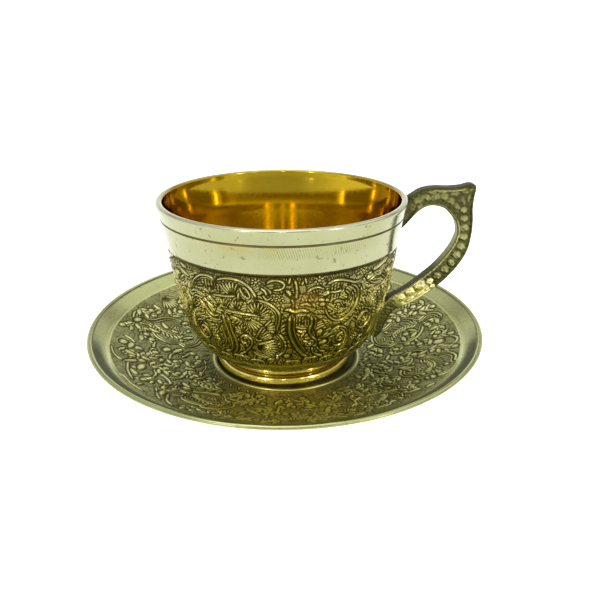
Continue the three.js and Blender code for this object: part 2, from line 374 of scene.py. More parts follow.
    def stipple(self, depth=0.1, grain=3):
        """A fine uneven grain over the whole drawing."""
        noise = rng.random((self.ny // grain + 2, self.nx // grain + 2))
        jj = np.arange(self.ny) / grain
        ii = np.arange(self.nx) / grain
        j = jj.astype(int)
        i = ii.astype(int)
        v = smooth(jj - j)[:, None]
        u = smooth(ii - i)[None, :]
        top = noise[j][:, i] * (1 - u) + noise[j][:, i + 1] * u
        bottom = noise[j + 1][:, i] * (1 - u) + noise[j + 1][:, i + 1] * u
        self.h += depth * (top * (1 - v) + bottom * v - 0.5)

    def at(self, x, y):
        """The height at points of the drawing."""
        fx = (np.asarray(x, float) - self.x0) * self.scale
        fy = np.clip((np.asarray(y, float) - self.y0) * self.scale, 0, self.ny - 1.001)
        fx = np.mod(fx, self.nx) if self.period else np.clip(fx, 0, self.nx - 1.001)
        i = np.minimum(fx.astype(int), self.nx - 1)
        j = fy.astype(int)
        k = (i + 1) % self.nx
        u = fx - i
        v = fy - j
        top = self.h[j, i] * (1 - u) + self.h[j, k] * u
        bottom = self.h[j + 1, i] * (1 - u) + self.h[j + 1, k] * u
        return top * (1 - v) + bottom * v


def on_cup(points):
    """Points given in degrees round the cup and height, in the drawing's millimetres."""
    return np.array(points, float) * (DEGREE, 1)


def cup_relief():
    """The drawing of the cup's field. Its chart is in degrees round the cup, 0 in front, and in height."""
    period = MODULE_DEG * DEGREE
    r = Relief(-period / 2, period / 2, FIELD_LOW - 1.5, FIELD_HIGH + 0.5, 10, 3.1, 0.9, 0.25, DEGREE, period)

    # Ticked ground under the band
    for k in range(-60, 60):
        a = k + 0.5
        tall = 1.2 + 0.7 * rng.random()
        r.petal(a * DEGREE, FIELD_HIGH - 0.1 - tall, 90 + 16 * (rng.random() - 0.5), tall, 0.34, 0.6, 0.12)

    # Leaves and flowers between the band and the large forms
    r.each(r.rosette, (-11.6, 40.9, 1.5), (15.9, 41.0, 1.6), (38.6, 41.4, 1.5),
           (-52.5, 37.9, 1.7), (-1.6, 35.6, 1.5))
    r.line(0.85, (-7.2, 40.2), (-5.5, 41.4), (-2.6, 41.7), (0.2, 40.9), (0.4, 39.6), (-1.8, 38.8),
           (-4.6, 38.7))
    r.line(1.5, (1.2, 38.9), (2.6, 37.7), (3.5, 36.2), ends=0.4)
    r.line(1.0, (5.2, 41.8), (5.8, 39.8), (6.1, 37.6), (5.7, 35.4))
    r.line(0.8, (3.9, 35.8), (4.6, 33.9), (4.2, 32.0))
    r.line(0.8, (-9.6, 39.2), (-7.8, 38.2), (-7.2, 36.8))
    r.line(0.6, (-8.9, 37.0), (-7.2, 35.6), (-4.9, 36.4))
    r.line(1.3, (0.4, 31.9), (2.2, 32.4), (5.0, 31.6), (8.6, 31.9), (12.4, 31.2), ends=0.2)
    r.line(0.9, (7.6, 33.6), (10.2, 34.0), (12.8, 33.2))
    r.line(0.8, (10.0, 37.0), (12.4, 38.6), (15.4, 39.0), (18.8, 38.0))
    for k in range(4):
        r.line(0.55, (11.0 + 1.35 * k, 37.4 + 0.2 * k), (12.0 + 1.35 * k, 35.6 + 0.1 * k), high=0.95,
               ends=(0, 0.3), moat=0.2)
    r.each(r.petal, (18.0, 36.2, 20, 2.6, 1.9), (16.0, 34.9, -10, 2.4, 1.5))
    r.each(r.boss, (18.2, 33.2, 1.0, 0.8), (20.4, 34.4, 0.7, 0.6))
    r.each(r.petal, (8.0, 40.0, 60, 2.2, 0.9), (10.2, 40.2, 100, 2.2, 0.8),
           (2.6, 40.4, 80, 2.2, 0.9))

    # The large lobed leaf at the left: its double outline
    lobed = [(-47.4, 33.9), (-46.6, 36.1), (-45, 37.6), (-43.2, 38.7), (-39.8, 40.1), (-37, 40.6),
             (-34.3, 40.6), (-30.9, 39.6)]
    lobed_top = [(-30.9, 39.6), (-28.3, 40.5), (-25.3, 41.0), (-22.0, 41.1), (-18.6, 40.7), (-15.6, 39.5),
                 (-13.3, 37.6), (-11.9, 35.3)]
    lobed_side = [(-11.9, 35.3), (-9.1, 34.9), (-5.9, 33.9), (-3.1, 32.2), (-1.9, 30.3), (-2.1, 28.2),
                  (-3.0, 26.2), (-3.2, 24.5)]
    lobed_foot = [(-3.2, 24.5), (-0.9, 22.9), (0.7, 20.8), (0.5, 18.6), (-1.5, 16.8), (-5.3, 15.7),
                  (-9.8, 15.4), (-13.6, 16.1), (-16.4, 17.6)]
    for piece in (lobed, lobed_top, lobed_side, lobed_foot):
        curve = spline(on_cup(piece), 8)
        r.stroke(shifted(curve, -0.62), 0.62, 0.85, (0.1, 0.1), 0.22)
        r.stroke(shifted(curve, 0.12), 0.95, 1.0, (0.1, 0.1), 0.26)

    # Inside it: a spine, hatched fans and a leaf
    r.line(1.0, (-29.6, 30.9), (-25.4, 30.6), (-19.3, 30.4), (-13.2, 30.2), (-9.3, 29.6), ends=(0.2, 0.3))
    r.line(0.9, (-34.6, 34.9), (-30, 35.2), (-25.4, 35.4), (-21.2, 35.9), ends=0.2)
    r.line(0.85, (-49.6, 33.1), (-46, 34.5), (-41.6, 34.3), (-38.4, 33.6))
    r.line(0.7, (-48.6, 31.2), (-45.4, 32.8), (-41.2, 32.6))
    r.line(1.15, (-38.2, 34.9), (-35.3, 33.5), (-32.2, 31.6), ends=(0.4, 0.3))
    r.line(0.75, (-40.2, 33.2), (-37.0, 31.6), (-34.2, 30.6))
    r.line(0.85, (-44.2, 32.2), (-40.6, 30.5), (-37.5, 28.4), (-34.8, 27.8), (-31.9, 28.6))
    r.line(0.7, (-41.0, 28.8), (-38.2, 26.9), (-34.6, 26.4), (-31.4, 27.0), high=0.85)
    for k in range(6):
        r.line(0.72, (-38.0 + 1.75 * k, 39.2 - 0.1 * abs(k - 3)), (-37.9 + 1.7 * k, 36.5), high=0.95,
               ends=0.2, moat=0.2)
    r.line(0.8, (-43.6, 37.4), (-40.4, 38.6), high=0.95, ends=0.2, moat=0.2)
    r.line(0.75, (-43.2, 36.2), (-39.6, 36.6), high=0.95, ends=0.2, moat=0.2)
    r.line(0.75, (-40.9, 38.9), (-39.2, 37.3), high=0.95, ends=0.2, moat=0.2)
    r.each(r.fan, (-23.4, 35.0, 1.6, 5.6, 62, 138, 6, 0.78),
           (-22.4, 35.4, 1.3, 4.7, 40, 62, 2, 0.8))
    r.line(0.6, (-18.6, 39.2), (-16.4, 38.6), (-14.8, 36.6), (-15.4, 35.7), (-17.6, 36.4), (-19.0, 38.2),
           (-18.6, 39.2))
    r.line(0.5, (-18.0, 38.2), (-15.8, 36.4), high=0.8, ends=0.2, moat=0.15)
    r.petal(-20.6 * DEGREE, 34.2, 82, 3.2, 0.9)
    r.each(r.fan, (-12.4, 29.8, 1.3, 4.9, 10, 132, 8, 0.74, 0.7),
           (-22.6, 30.6, 1.1, 4.0, 62, 118, 4, 0.7), (-28.6, 31.0, 1.0, 3.6, 40, 110, 4, 0.75),
           (-17.2, 29.6, 1.5, 6.2, 212, 336, 10, 0.76, 0.6),
           (-9.6, 26.2, 0.6, 3.8, -52, 58, 6, 0.72))
    r.line(0.7, (-26.0, 29.0), (-22.0, 28.4), (-19.5, 27.2))

    # Its stems, spiral and lower fan
    r.line(0.95, (-30.0, 29.6), (-29.4, 26.2), (-28.2, 22.8), (-27.4, 19.9), (-28.0, 17.4), (-30.4, 15.7),
           (-34.6, 14.9))
    r.line(0.9, (-27.3, 29.2), (-26.7, 26.6), (-26.0, 23.6), (-24.8, 20.6), (-24.7, 18.4), (-26.2, 16.3),
           (-29.4, 14.6))
    r.line(0.7, (-32.0, 25.4), (-31.2, 22.0), (-31.0, 19.6), (-32.4, 17.6), (-35.6, 16.6), high=0.85)
    r.line(0.9, (-26.4, 14.6), (-22.4, 15.7), (-18.8, 17.7), (-16.5, 19.4), (-16.0, 21.2), (-17.4, 22.6),
           (-19.8, 22.8), (-21.7, 21.6), (-21.0, 20.2), (-19.2, 20.1), (-18.5, 21.2))
    r.line(0.6, (-22.8, 19.4), (-21.2, 18.0), (-20.8, 16.9), high=0.8)
    r.each(r.fan, (-15.0, 19.6, 1.3, 8.2, -44, 24, 8, 0.82, 0.9),
           (-14.6, 21.4, 1.2, 6.0, 24, 66, 4, 0.8), (-20.4, 23.6, 0.5, 3.0, 30, 150, 5, 0.7),
           (-22.6, 15.2, 0.4, 3.0, -100, -20, 5, 0.62))

    # The double stem at the centre and the tall form to its right
    r.line(1.25, (3.2, 30.6), (2.9, 27.4), (3.2, 24.2), (4.9, 20.9), (7.5, 18.0), (10.6, 15.8),
           (14.2, 14.6), ends=0.1, moat=0.34)
    r.line(0.55, (5.4, 30.4), (5.0, 27.8), (5.3, 24.8), (7.0, 21.6), (9.6, 18.9), (12.4, 17.0), high=0.8)
    for k in range(8):
        z = 29.4 - 1.5 * k
        off = 0.0 if k < 4 else 0.55 * (k - 3) ** 1.35
        r.line(0.6, (-0.2 + off * 0.5, z), (1.8 + off, z + 0.35), high=0.75, ends=0.2, moat=0.16)
    r.line(0.95, (13.1, 30.0), (13.5, 27.4), (12.6, 25.0), (13.5, 23.2), (15.5, 21.6), (17.6, 20.2))
    r.line(0.6, (15.2, 29.4), (15.5, 27.2), (15.0, 25.2), high=0.85)
    for k in range(4):
        r.line(0.62, (7.0 + 1.4 * k, 29.6), (6.9 + 1.45 * k, 26.9), high=0.9, ends=0.15, moat=0.18)
    r.line(1.1, (6.6, 25.2), (8.8, 24.6), (11.2, 24.9), ends=0.2)
    r.each(r.boss, (13.2, 20.2, 1.75, 1.25, 20), (13.2, 20.2, 0.7, 0.5, 20, 1.0, 0.25),
           (18.0, 23.6, 1.1, 1.5, -10), (20.4, 19.8, 1.7, 1.0, 10))
    r.each(r.petal, (8.4, 22.6, 60, 2.2, 1.0), (9.6, 21.4, -20, 2.2, 0.9))
    r.line(1.0, (14.6, 18.6), (15.6, 16.6), (18.4, 15.2), (21.8, 14.6))
    r.line(0.7, (17.4, 18.4), (19.6, 16.8), (22.8, 16.2))

    # The oval medallion at the upper right
    r.line(1.0, (19.4, 39.4), (22.8, 40.3), (26.6, 40.2), (30.4, 39.4), (34.0, 38.5), (37.2, 38.6),
           (39.4, 39.6), ends=(0.1, 0.3))
    r.line(0.85, (31.0, 38.3), (34.4, 37.3), (36.8, 35.6), (37.4, 33.2), (36.4, 30.6), (33.4, 28.3),
           (28.8, 26.9), (24.2, 27.6), (20.9, 29.7), (19.8, 32.2))
    r.line(0.6, (33.2, 35.8), (34.6, 33.6), (34.2, 31.4), (31.8, 29.6), (28.4, 28.6), (25.0, 29.2),
           high=0.85)
    for k in range(5):
        r.line(0.62, (21.6 + 1.5 * k, 39.1), (21.5 + 1.5 * k, 37.5), high=0.95, ends=0.1, moat=0.16)
    r.line(0.6, (21.4, 36.9), (24.4, 36.7), (27.4, 36.9))
    for k in range(4):
        r.line(0.6, (22.0 + 1.5 * k, 36.2), (21.9 + 1.5 * k, 34.9), high=0.95, ends=0.1, moat=0.16)
    r.line(1.0, (23.6, 33.0), (26.0, 33.6), (29.4, 32.4), ends=0.3)
    r.rosette(25.4 * DEGREE, 30.9, 1.25, 6)
    r.fan(29.6 * DEGREE, 30.6, 0.4, 2.8, 20, 130, 5, 0.6)
    r.line(0.7, (29.6, 36.4), (31.6, 35.0), (32.0, 33.2))

    # Leaves and small work at the right
    r.line(0.8, (41.4, 38.2), (43.6, 40.0), (46.2, 38.3), (43.8, 37.6), (41.4, 38.2))
    r.each(r.petal, (41.6, 38.2, 20, 3.2, 1.8), (45.4, 40.4, 14, 8.2, 2.1),
           (50.0, 36.6, -8, 6.0, 1.1))
    r.line(0.7, (44.4, 37.0), (47.6, 36.0), (51.6, 35.6), (57.0, 35.8))
    r.line(0.7, (38.6, 36.8), (39.6, 33.6), (39.2, 30.4), (37.2, 27.6), (33.4, 25.2), (29.4, 24.4),
           high=0.85)
    r.feather(on_cup([(39.8, 33.6), (39.0, 29.8), (36.2, 26.2)]), 0.6, 1.15, 2.4)
    r.each(r.petal, (40.0, 32.4, -12, 2.4, 1.0), (45.6, 31.0, 40, 2.6, 1.0),
           (48.6, 33.6, 10, 3.2, 1.1))

    # Scrolls at the lower right and at the sides
    r.scroll(30.5 * DEGREE, 20.2, 3.2, 1.3, 200, 0.8)
    r.feather(on_cup([(25.2, 24.6), (29.0, 25.2), (33.6, 23.4), (36.0, 20.2), (35.0, 16.8)]), 0.7, 1.1, 1.7,
              -1)
    r.line(0.7, (23.2, 23.2), (28.2, 24.6), (33.0, 23.0), (35.2, 20.0), (34.2, 16.8), (30.2, 15.0))
    r.scroll(45.0 * DEGREE, 24.6, 4.2, 1.4, 20, 0.9, -1)
    r.feather(on_cup([(38.4, 24.0), (40.6, 29.0), (45.4, 30.2), (50.4, 28.4), (52.4, 24.0)]), 0.6, 1.15,
              1.8)
    r.scroll(46.0 * DEGREE, 16.6, 2.8, 1.2, 160, 0.8)
    r.rosette(40.0 * DEGREE, 19.0, 1.6)
    r.line(1.0, (53.0, 31.6), (56.4, 28.6), (57.4, 24.4), (55.8, 19.6), (52.0, 16.0))
    r.line(0.7, (56.2, 32.6), (59.6, 29.0), (60.8, 24.4), (59.0, 19.0), (55.0, 14.8), high=0.85)
    r.each(r.fan, (60.0, 34.6, 0.8, 4.4, 20, 150, 8, 0.8),
           (64.5, 26.0, 0.8, 4.6, 100, 250, 9, 0.8), (-51.0, 27.8, 0.8, 4.2, -30, 100, 8, 0.8))
    r.line(0.9, (-54.4, 33.6), (-52.0, 31.4), (-51.6, 28.4), (-53.4, 25.2), (-56.6, 23.4))
    r.scroll(-45.6 * DEGREE, 20.6, 4.0, 1.5, 60, 0.9)
    r.feather(on_cup([(-52.6, 19.4), (-50.4, 24.4), (-45.0, 26.4), (-39.6, 24.0), (-38.0, 19.6)]), 0.7,
              1.15, 1.8)
    r.rosette(-36.4 * DEGREE, 22.4, 1.5)
    r.each(r.petal, (-55.0, 39.8, -20, 4.4, 1.6), (-56.6, 36.6, 30, 3.0, 1.2),
           (-49.6, 40.9, 160, 3.2, 1.2))

    # Lotus scallops along the bottom edge
    for k in range(12):
        a = -55 + 10 * k
        top = 14.5 if k % 2 else 13.7
        r.line(0.75, (a - 4.8, 12.2), (a - 3.2, top - 0.3), (a, top), (a + 3.2, top - 0.3), (a + 4.8, 12.2),
               high=0.9, ends=0.05, moat=0.22)
        r.petal(a * DEGREE, 12.0, 90, 1.5, 1.1, 0.8)
    r.each(r.boss, (1.6, 15.7, 1.3, 1.0), (-3.4, 14.9, 0.7, 0.6))

    r.stipple()
    return r


def paisley(r, x, y, angle, size, flip):
    """A lobed paisley, about 24 mm tall at size 1: a double outline, a curled tip, fans and a flower."""
    def placed(points):
        p = np.array(points, float) * size
        p[:, 0] *= flip
        ca, sa = toward(angle)
        return np.stack([x + p[:, 0] * ca - p[:, 1] * sa, y + p[:, 0] * sa + p[:, 1] * ca], 1)

    outline = [(3.2, 12.6), (0.6, 13.6), (-2.6, 12.4), (-4.0, 9.4), (-2.8, 6.4), (-5.6, 4.6), (-8.0, 1.4),
               (-8.2, -2.6), (-6.4, -5.6), (-7.0, -8.2), (-4.2, -10.8), (0.0, -11.6), (4.0, -10.4),
               (6.4, -7.6), (6.2, -4.4), (8.0, -1.6), (7.4, 2.2), (4.8, 5.0), (1.6, 6.8), (0.4, 9.0),
               (1.6, 10.6), (3.0, 10.0)]
    curve = placed(spline(outline, 7))
    r.stroke(curve, size, 1.0, (0.05, 0.1), 0.3)
    r.stroke(shifted(curve, 1.15 * size * flip), 0.6 * size, 0.85, (0.05, 0.2), 0.22)
    spine = placed(spline([(-0.6, 6.0), (-2.2, 2.6), (-2.0, -1.6), (0.4, -5.2)], 8))
    r.stroke(spine, 0.8 * size, 1.0, (0.1, 0.2), 0.2)
    for side in (-1, 1):
        r.feather(spine, 0.6 * size, 1.25 * size, 3.0 * size, side, 50)
    large, small, *dots = placed([(2.6, -1.0), (0.4, -7.4), (-3.6, -5.6), (3.8, -5.6)])
    r.rosette(*large, 1.9 * size)
    r.rosette(*small, 1.7 * size, 6)
    for dot in dots:
        r.boss(*dot, 0.9 * size, 0.9 * size)


def saucer_relief():
    """The drawing of the saucer's field, in millimetres from its centre, with the front at -Y."""
    r = Relief(-60, 60, -60, 60, 8, 3.6, 1.3, 0.4)

    # Left of the cup: scrolls, brackets and berries
    r.line(1.1, (-42, -19.6), (-40.8, -21.9), (-40.7, -24.6), (-41.6, -26.5))
    r.boss(-42.6, -26.0, 1.5, 1.2, 20)
    r.line(1.3, (-40, -21.5), (-38.2, -22.7), (-36.6, -24.6), (-35.5, -26.9), (-35.9, -28.6))
    r.boss(-36.9, -28.8, 1.8, 1.2, 10)
    r.line(1.6, (-37, -22.3), (-34.7, -21.9), (-33.5, -20.4), (-33.3, -18.1))
    for k in range(5):
        r.line(0.5, (-39.2 + 1.1 * k, -18.0), (-39.1 + 1.1 * k, -20.2), high=0.85, ends=0.1, moat=0.2)
    r.line(1.0, (-38.9, -8.8), (-39.3, -5.8), (-38.2, -3.5), (-35.8, -2.4), (-33.6, -1.0))
    r.line(1.4, (-33.8, -1.2), (-34.2, -2.8), (-35.4, -5.0))
    r.line(1.1, (-45.3, 1.2), (-45.4, -2.0), (-44.7, -4.6))
    r.each(r.boss, (-44.8, -5.4, 1.4, 1.6), (-54.0, -7.0, 1.5, 1.8), (-49.3, -7.8, 1.8, 1.3),
           (-41.0, -2.4, 1.4, 2.0, -20), (-35.8, -8.4, 1.0, 1.6), (-29.8, -6.0, 1.4, 1.5),
           (-31.0, -12.2, 1.0, 1.2), (-27.9, -14.8, 0.9, 1.5, 10), (-46.4, -15.8, 1.6, 1.2, -30),
           (-46.9, -22.4, 1.5, 1.2), (-43.6, -30.6, 2.0, 1.1, -10), (-41.3, -10.8, 0.9, 1.5))
    r.line(0.9, (-49.3, -13.6), (-49.8, -18.0), (-49.0, -23.0), (-47.6, -27.7), (-45.0, -33.0))
    r.line(1.0, (-30.5, -22.7), (-31.8, -25.4), (-32.2, -28.5), (-32.2, -31.2))
    r.line(0.8, (-56.6, -12.4), (-55.0, -16.6), (-52.8, -19.4), (-50.6, -20.2))
    r.line(0.8, (-53.6, -11.0), (-52.6, -13.4), (-52.4, -15.0))
    r.line(0.8, (-55.0, -2.6), (-52.6, -3.4), (-50.8, -5.0))
    r.line(0.6, (-28.5, -4.0), (-27.4, -7.0), (-27.0, -10.6), (-28.0, -14.0))
    r.line(0.9, (-50.4, -30.6), (-47.6, -32.4), (-44.6, -36.6), (-40.2, -40.4))
    r.line(1.0, (-36.2, -33.4), (-34.6, -36.4), (-33.8, -39.8), (-33.2, -44.0), (-30.6, -48.4))
    r.line(0.8, (-38.6, -34.0), (-37.4, -37.0), (-36.6, -40.6), (-34.8, -44.4))

    # Right of the cup: a large paisley, with berries beside it
    paisley(r, 44.3, -21.0, 14, 1.04, -1)
    r.line(1.1, (53.5, -5.0), (55.8, -7.3), (56.8, -9.6), (55.8, -12.0), (53.9, -12.3))
    r.boss(51.4, -7.4, 1.9, 2.2, 20)
    r.line(1.2, (45.0, 1.2), (45.4, -2.0), (45.0, -5.6))
    r.line(1.4, (35.3, -5.0), (34.3, -7.3), (33.5, -9.6))
    r.each(r.boss, (32.2, -4.0, 1.5, 1.2), (27.4, -5.0, 1.2, 1.0), (28.3, -1.5, 1.2, 1.1),
           (36.8, -1.4, 1.6, 1.3), (42.4, -1.0, 1.5, 1.3), (25.3, -8.0, 0.9, 1.0))
    r.line(0.9, (32.6, -11.0), (32.2, -14.0), (31.4, -17.4))

    # In front of the cup: long stems and leaves
    r.scroll(-8.4, -28.6, 2.6, 1.3, 120, 0.9)
    r.line(1.0, (-2.7, -35.0), (-2.4, -38.4), (-2.8, -42.0), (-4.4, -44.6), (-6.2, -46.8))
    r.line(1.0, (-6.2, -45.0), (-5.5, -48.5), (-6.4, -52.4))
    r.petal(-11.6, -39.6, -58, 9.0, 2.4)
    r.line(1.1, (8.2, -44.4), (7.0, -47.6), (6.2, -51.4))
    r.petal(12.4, -38.4, -100, 8.5, 2.2)
    r.each(r.rosette, (0.6, -31.4, 2.4), (5.6, -40.2, 2.0))
    r.each(r.fan, (1.0, -55.0, 1.0, 7.0, 50, 130, 7, 1.0), (-16.6, -50.0, 1.0, 7.0, 40, 125, 8, 1.0),
           (16.0, -50.0, 1.0, 7.0, 50, 135, 8, 1.0))
    r.line(1.0, (-14.2, -33.4), (-17.6, -36.0), (-19.4, -40.4), (-19.0, -45.2))
    r.line(1.0, (17.4, -30.6), (19.6, -34.6), (20.2, -39.4), (18.8, -44.4))
    paisley(r, -24.4, -34.6, 46, 0.86, 1)
    paisley(r, 26.6, -38.6, -30, 0.84, -1)

    # Behind the cup: the same forms, carried on round the saucer
    for a, size, flip in ((8, 0.98, 1), (52, 0.92, -1), (90, 0.98, 1), (128, 0.92, -1), (168, 0.98, 1)):
        ca, sa = toward(a)
        paisley(r, 43 * ca, 43 * sa + 2, a - 90, size, flip)
    for a in (30, 71, 109, 148):
        ca, sa = toward(a)
        r.scroll(34.5 * ca, 34.5 * sa, 3.4, 1.3, a, 1.0)
        r.fan(56 * ca, 56 * sa, 1.0, 7.5, a + 130, a + 230, 9, 1.0)
        r.rosette(44.5 * ca, 44.5 * sa, 2.1)

    def in_field(x, y):
        radius = np.hypot(x, y)
        return (radius > 28.5) & (radius < 57.5)

    r.sprays(2200, -58, 58, 17.0, in_field)
    r.sprays(1200, -58, 58, 9.0, in_field)
    r.leaves(700, -58, 58, 4.0, 2.0, in_field)

    # A wreath of small leaves round the seat
    leaves = 52
    for k in range(leaves):
        a = 360 * k / leaves
        ca, sa = toward(a)
        r.petal(26.6 * ca, 26.6 * sa, a + 38, 2.6, 0.8, 0.75, 0.16)
    r.stipple()
    return r


def hollow(h, lines, ground):
    """How dark the patina lies: most in the cut lines, less on the ground, none on the forms."""
    return lines * smooth((0.4 - h) / 0.34) + ground * smooth((0.84 - h) / 0.3)


def new_object(name, data):
    """A new object in the scene for a mesh, a lamp or a camera."""
    obj = bpy.data.objects.new(name, data)
    bpy.context.scene.collection.objects.link(obj)
    return obj


def new_mesh(name, verts, faces, uv, values, materials=None):
    """A smooth mesh from arrays in millimetres, with UVs for baking and per-vertex values.

    faces is a list of arrays of vertex numbers, one array for each number of corners.
    """
    mesh = bpy.data.meshes.new(name)
    corners = np.concatenate([f.ravel() for f in faces])
    sizes = np.concatenate([np.full(len(f), f.shape[1]) for f in faces])
    mesh.vertices.add(len(verts))
    mesh.vertices.foreach_set("co", (np.asarray(verts, np.float32) / 1000).ravel())
    mesh.loops.add(len(corners))
    mesh.loops.foreach_set("vertex_index", corners.astype(np.int32))
    mesh.polygons.add(len(sizes))
    mesh.polygons.foreach_set("loop_start", (np.cumsum(sizes) - sizes).astype(np.int32))
    if materials is not None:
        mesh.polygons.foreach_set("material_index", materials.astype(np.int32))
    mesh.update(calc_edges=True)
    mesh.validate()
    mesh.shade_smooth()
    mesh.uv_layers.new(name="OFBake").data.foreach_set("uv", uv.astype(np.float32).ravel())
    for key, data in values.items():
        mesh.attributes.new(key, "FLOAT", "POINT").data.foreach_set("value", data.astype(np.float32))
    return new_object(name, mesh)


def lattice(rows, cols, u, v, corners):
    """Quads and their UVs on a lattice that closes on itself sideways. corners gives each quad's order."""
    j, i = np.meshgrid(np.arange(rows - 1), np.arange(cols), indexing="ij")
    quads = np.stack([(j + dj) * cols + (i + di) % cols for dj, di in corners], -1).reshape(-1, 4)
    uv = np.stack([np.stack([u[i + di], v[j + dj]], -1) for dj, di in corners], 2).reshape(-1, 2)
    return quads, uv


def around(cols):
    """Angles in radians round a turned piece, where 0 faces -Y and angles grow toward +X."""
    return np.linspace(-math.pi, math.pi, cols, endpoint=False)


def spun(profile, angles):
    """Rings of points for a profile of (radius, height)."""
    r = profile[:, 0][:, None]
    z = np.repeat(profile[:, 1][:, None], len(angles), 1)
    return np.stack([r * np.sin(angles), -r * np.cos(angles), z], -1)


def raise_rows(rings, profile, rows, angles, rise):
    """Moves the points of some rows outward from the turned surface."""
    tangent = np.gradient(profile, axis=0)[rows]
    tangent /= np.linalg.norm(tangent, axis=1)[:, None]
    outward = rise * tangent[:, 1][:, None]
    rings[rows, :, 0] += outward * np.sin(angles)
    rings[rows, :, 1] -= outward * np.cos(angles)
    rings[rows, :, 2] -= rise * tangent[:, 0][:, None]


def turned(name, rings, patina_and_shade, materials=None, cx=0.0, cz=0.0):
    """A closed turned piece from an array (rows, columns, 3), whose end rows lie by the axis or meet."""
    rows, cols, _ = rings.shape
    run = distances(np.stack([np.hypot(rings[:, 0, 0], rings[:, 0, 1]), rings[:, 0, 2]], 1))
    corners = [(0, 0), (0, 1), (1, 1), (1, 0)]
    quads, uv = lattice(rows, cols, np.arange(cols + 1) / cols, run / run[-1], corners)
    verts = rings.reshape(-1, 3) + np.array([cx, 0, cz])
    ids = None if materials is None else np.repeat(materials[:-1], cols)
    return new_mesh(name, verts, [quads], uv, {"patina_and_shade": patina_and_shade.reshape(-1)}, ids)


def flare(z):
    """The radius of the cup's plain band at a height."""
    share = np.clip((z - BAND_Z) / (LIP_Z - BAND_Z), 0, None)
    return BAND_R + (LIP_R - BAND_R) * share ** 1.3


def make_cup(relief):
    """The bowl. Its profile runs from the middle of the underside over the outside and lip to the floor."""
    angles = around(1440)
    belly = bezier([(NECK_R, NECK_Z), (NECK_R + 11.2, NECK_Z), (BAND_R - 3.25, BAND_Z - 26.6),
                    (BAND_R, BAND_Z)], 200)
    neck = resample(belly[belly[:, 1] < FIELD_LOW], 0.8)[:-1]
    field = resample(belly[belly[:, 1] >= FIELD_LOW - 0.01], 0.17)
    below, in_groove, above = 12, 7, 8
    z = np.r_[np.linspace(BAND_Z, GROOVE_Z - 0.45, below),
              np.linspace(GROOVE_Z - GROOVE_HALF, GROOVE_Z + GROOVE_HALF, in_groove),
              np.linspace(GROOVE_Z + 0.45, LIP_Z, above)]
    cut = GROOVE_DEPTH * np.clip(1 - np.abs(z - GROOVE_Z) / GROOVE_HALF, 0, 1) ** 0.7
    band = np.stack([flare(z) - cut, z], 1)
    lip = arc(LIP_R - LIP_W / 2, LIP_Z, LIP_W / 2, LIP_CROWN, 0, 180, 15)[1:]
    plain = np.linspace(BAND_Z, LIP_Z, 40)[1:-1]
    inner = shifted(np.vstack([belly, np.stack([flare(plain), plain], 1)]), WALL)
    inner = resample(inner[::-1], 1.1)
    inner = inner[(inner[:, 1] < LIP_Z - 0.4) & (inner[:, 0] > 1)]
    floor = np.array([[inner[-1, 0] * s, NECK_Z + WALL] for s in (0.75, 0.5, 0.25, AXIS)])
    under = np.array([[NECK_R * s, NECK_Z] for s in (AXIS, 0.25, 0.5, 0.75, 0.97)])
    profile = np.vstack([under, neck, field, band, lip, inner, floor])
    rings = spun(profile, angles)
    start = len(under) + len(neck)
    stop = start + len(field)
    rows = np.arange(start, stop)
    z = np.repeat(profile[rows, 1][:, None], len(angles), 1)
    h = relief.at((angles[None, :] * CHART_R).repeat(len(rows), 0), z)
    edge = smooth((z - FIELD_LOW) / 0.9) * smooth((FIELD_HIGH - z) / 0.35)
    # The ground lies below the plain metal, the forms stand a little above, and a line parts off the band
    rise = (h - PLAIN) * RELIEF * edge * (1 - smooth((z - (FIELD_HIGH - 0.1)) / 0.25))
    raise_rows(rings, profile, rows, angles, rise - 0.18 * (1 - smooth(np.abs(z - FIELD_HIGH) / 0.3)))
    patina_and_shade = np.zeros(rings.shape[:2])
    patina_and_shade[rows] = np.maximum(hollow(h, 0.8, 0.2 + 0.22 * smooth((z - 32) / 9)) * edge,
                              0.9 * (1 - smooth(np.abs(z - FIELD_HIGH + 0.05) / 0.4)))
    # The neck under the belly is painted darker: painted shade
    patina_and_shade[len(under) - 1:start] = 0.35
    patina_and_shade[stop + below:stop + below + in_groove] = 0.75
    materials = np.zeros(len(profile), int)
    materials[len(under) - 1:stop] = 1
    # The gilding begins some way over the lip
    materials[stop + len(band) + 9:] = 2
    return turned("cup_body", rings, patina_and_shade, materials, CUP_X, CUP_Z)


def make_foot():
    """The foot ring. Its profile runs up the outside, from lower bead to neck, and down the inside."""
    angles = around(300)
    bead = np.vstack([[(FOOT_R - 0.8, 0)], arc(FOOT_R - 1.5, 1.1, 1.5, 1.1, -60, 0, 9),
                      arc(FOOT_R - 1.5, 1.1, 1.5, 2.0, 0, 90, 17)[1:]])
    small = arc(NECK_R + 0.7, 4.1, 0.75, 0.8, -70, 90, 15)
    cove = bezier([bead[-1], (bead[-1][0] - 0.4, 3.12), (small[0][0] - 0.2, 3.15), small[0]], 8)[1:-1]
    stem = bezier([small[-1], (NECK_R + 0.15, 5.0), (NECK_R, 5.2), (NECK_R, FOOT_H)], 8)[1:]
    inner = np.array([[NECK_R - 1.0, FOOT_H], [NECK_R - 2, FOOT_H], [NECK_R - 2, 3], [NECK_R - 2, 0],
                      [FOOT_R - 2.2, 0]])
    profile = np.vstack([bead, cove, small, stem, inner, bead[:1]])
    patina_and_shade = np.zeros((len(profile), len(angles)))
    over_cove = len(bead) + len(cove)
    patina_and_shade[len(bead) - 1:over_cove + 1] = 0.6
    patina_and_shade[over_cove + len(small):over_cove + len(small) + 4] = 0.5
    return turned("cup_foot", spun(profile, angles), patina_and_shade, None, CUP_X, CUP_Z)


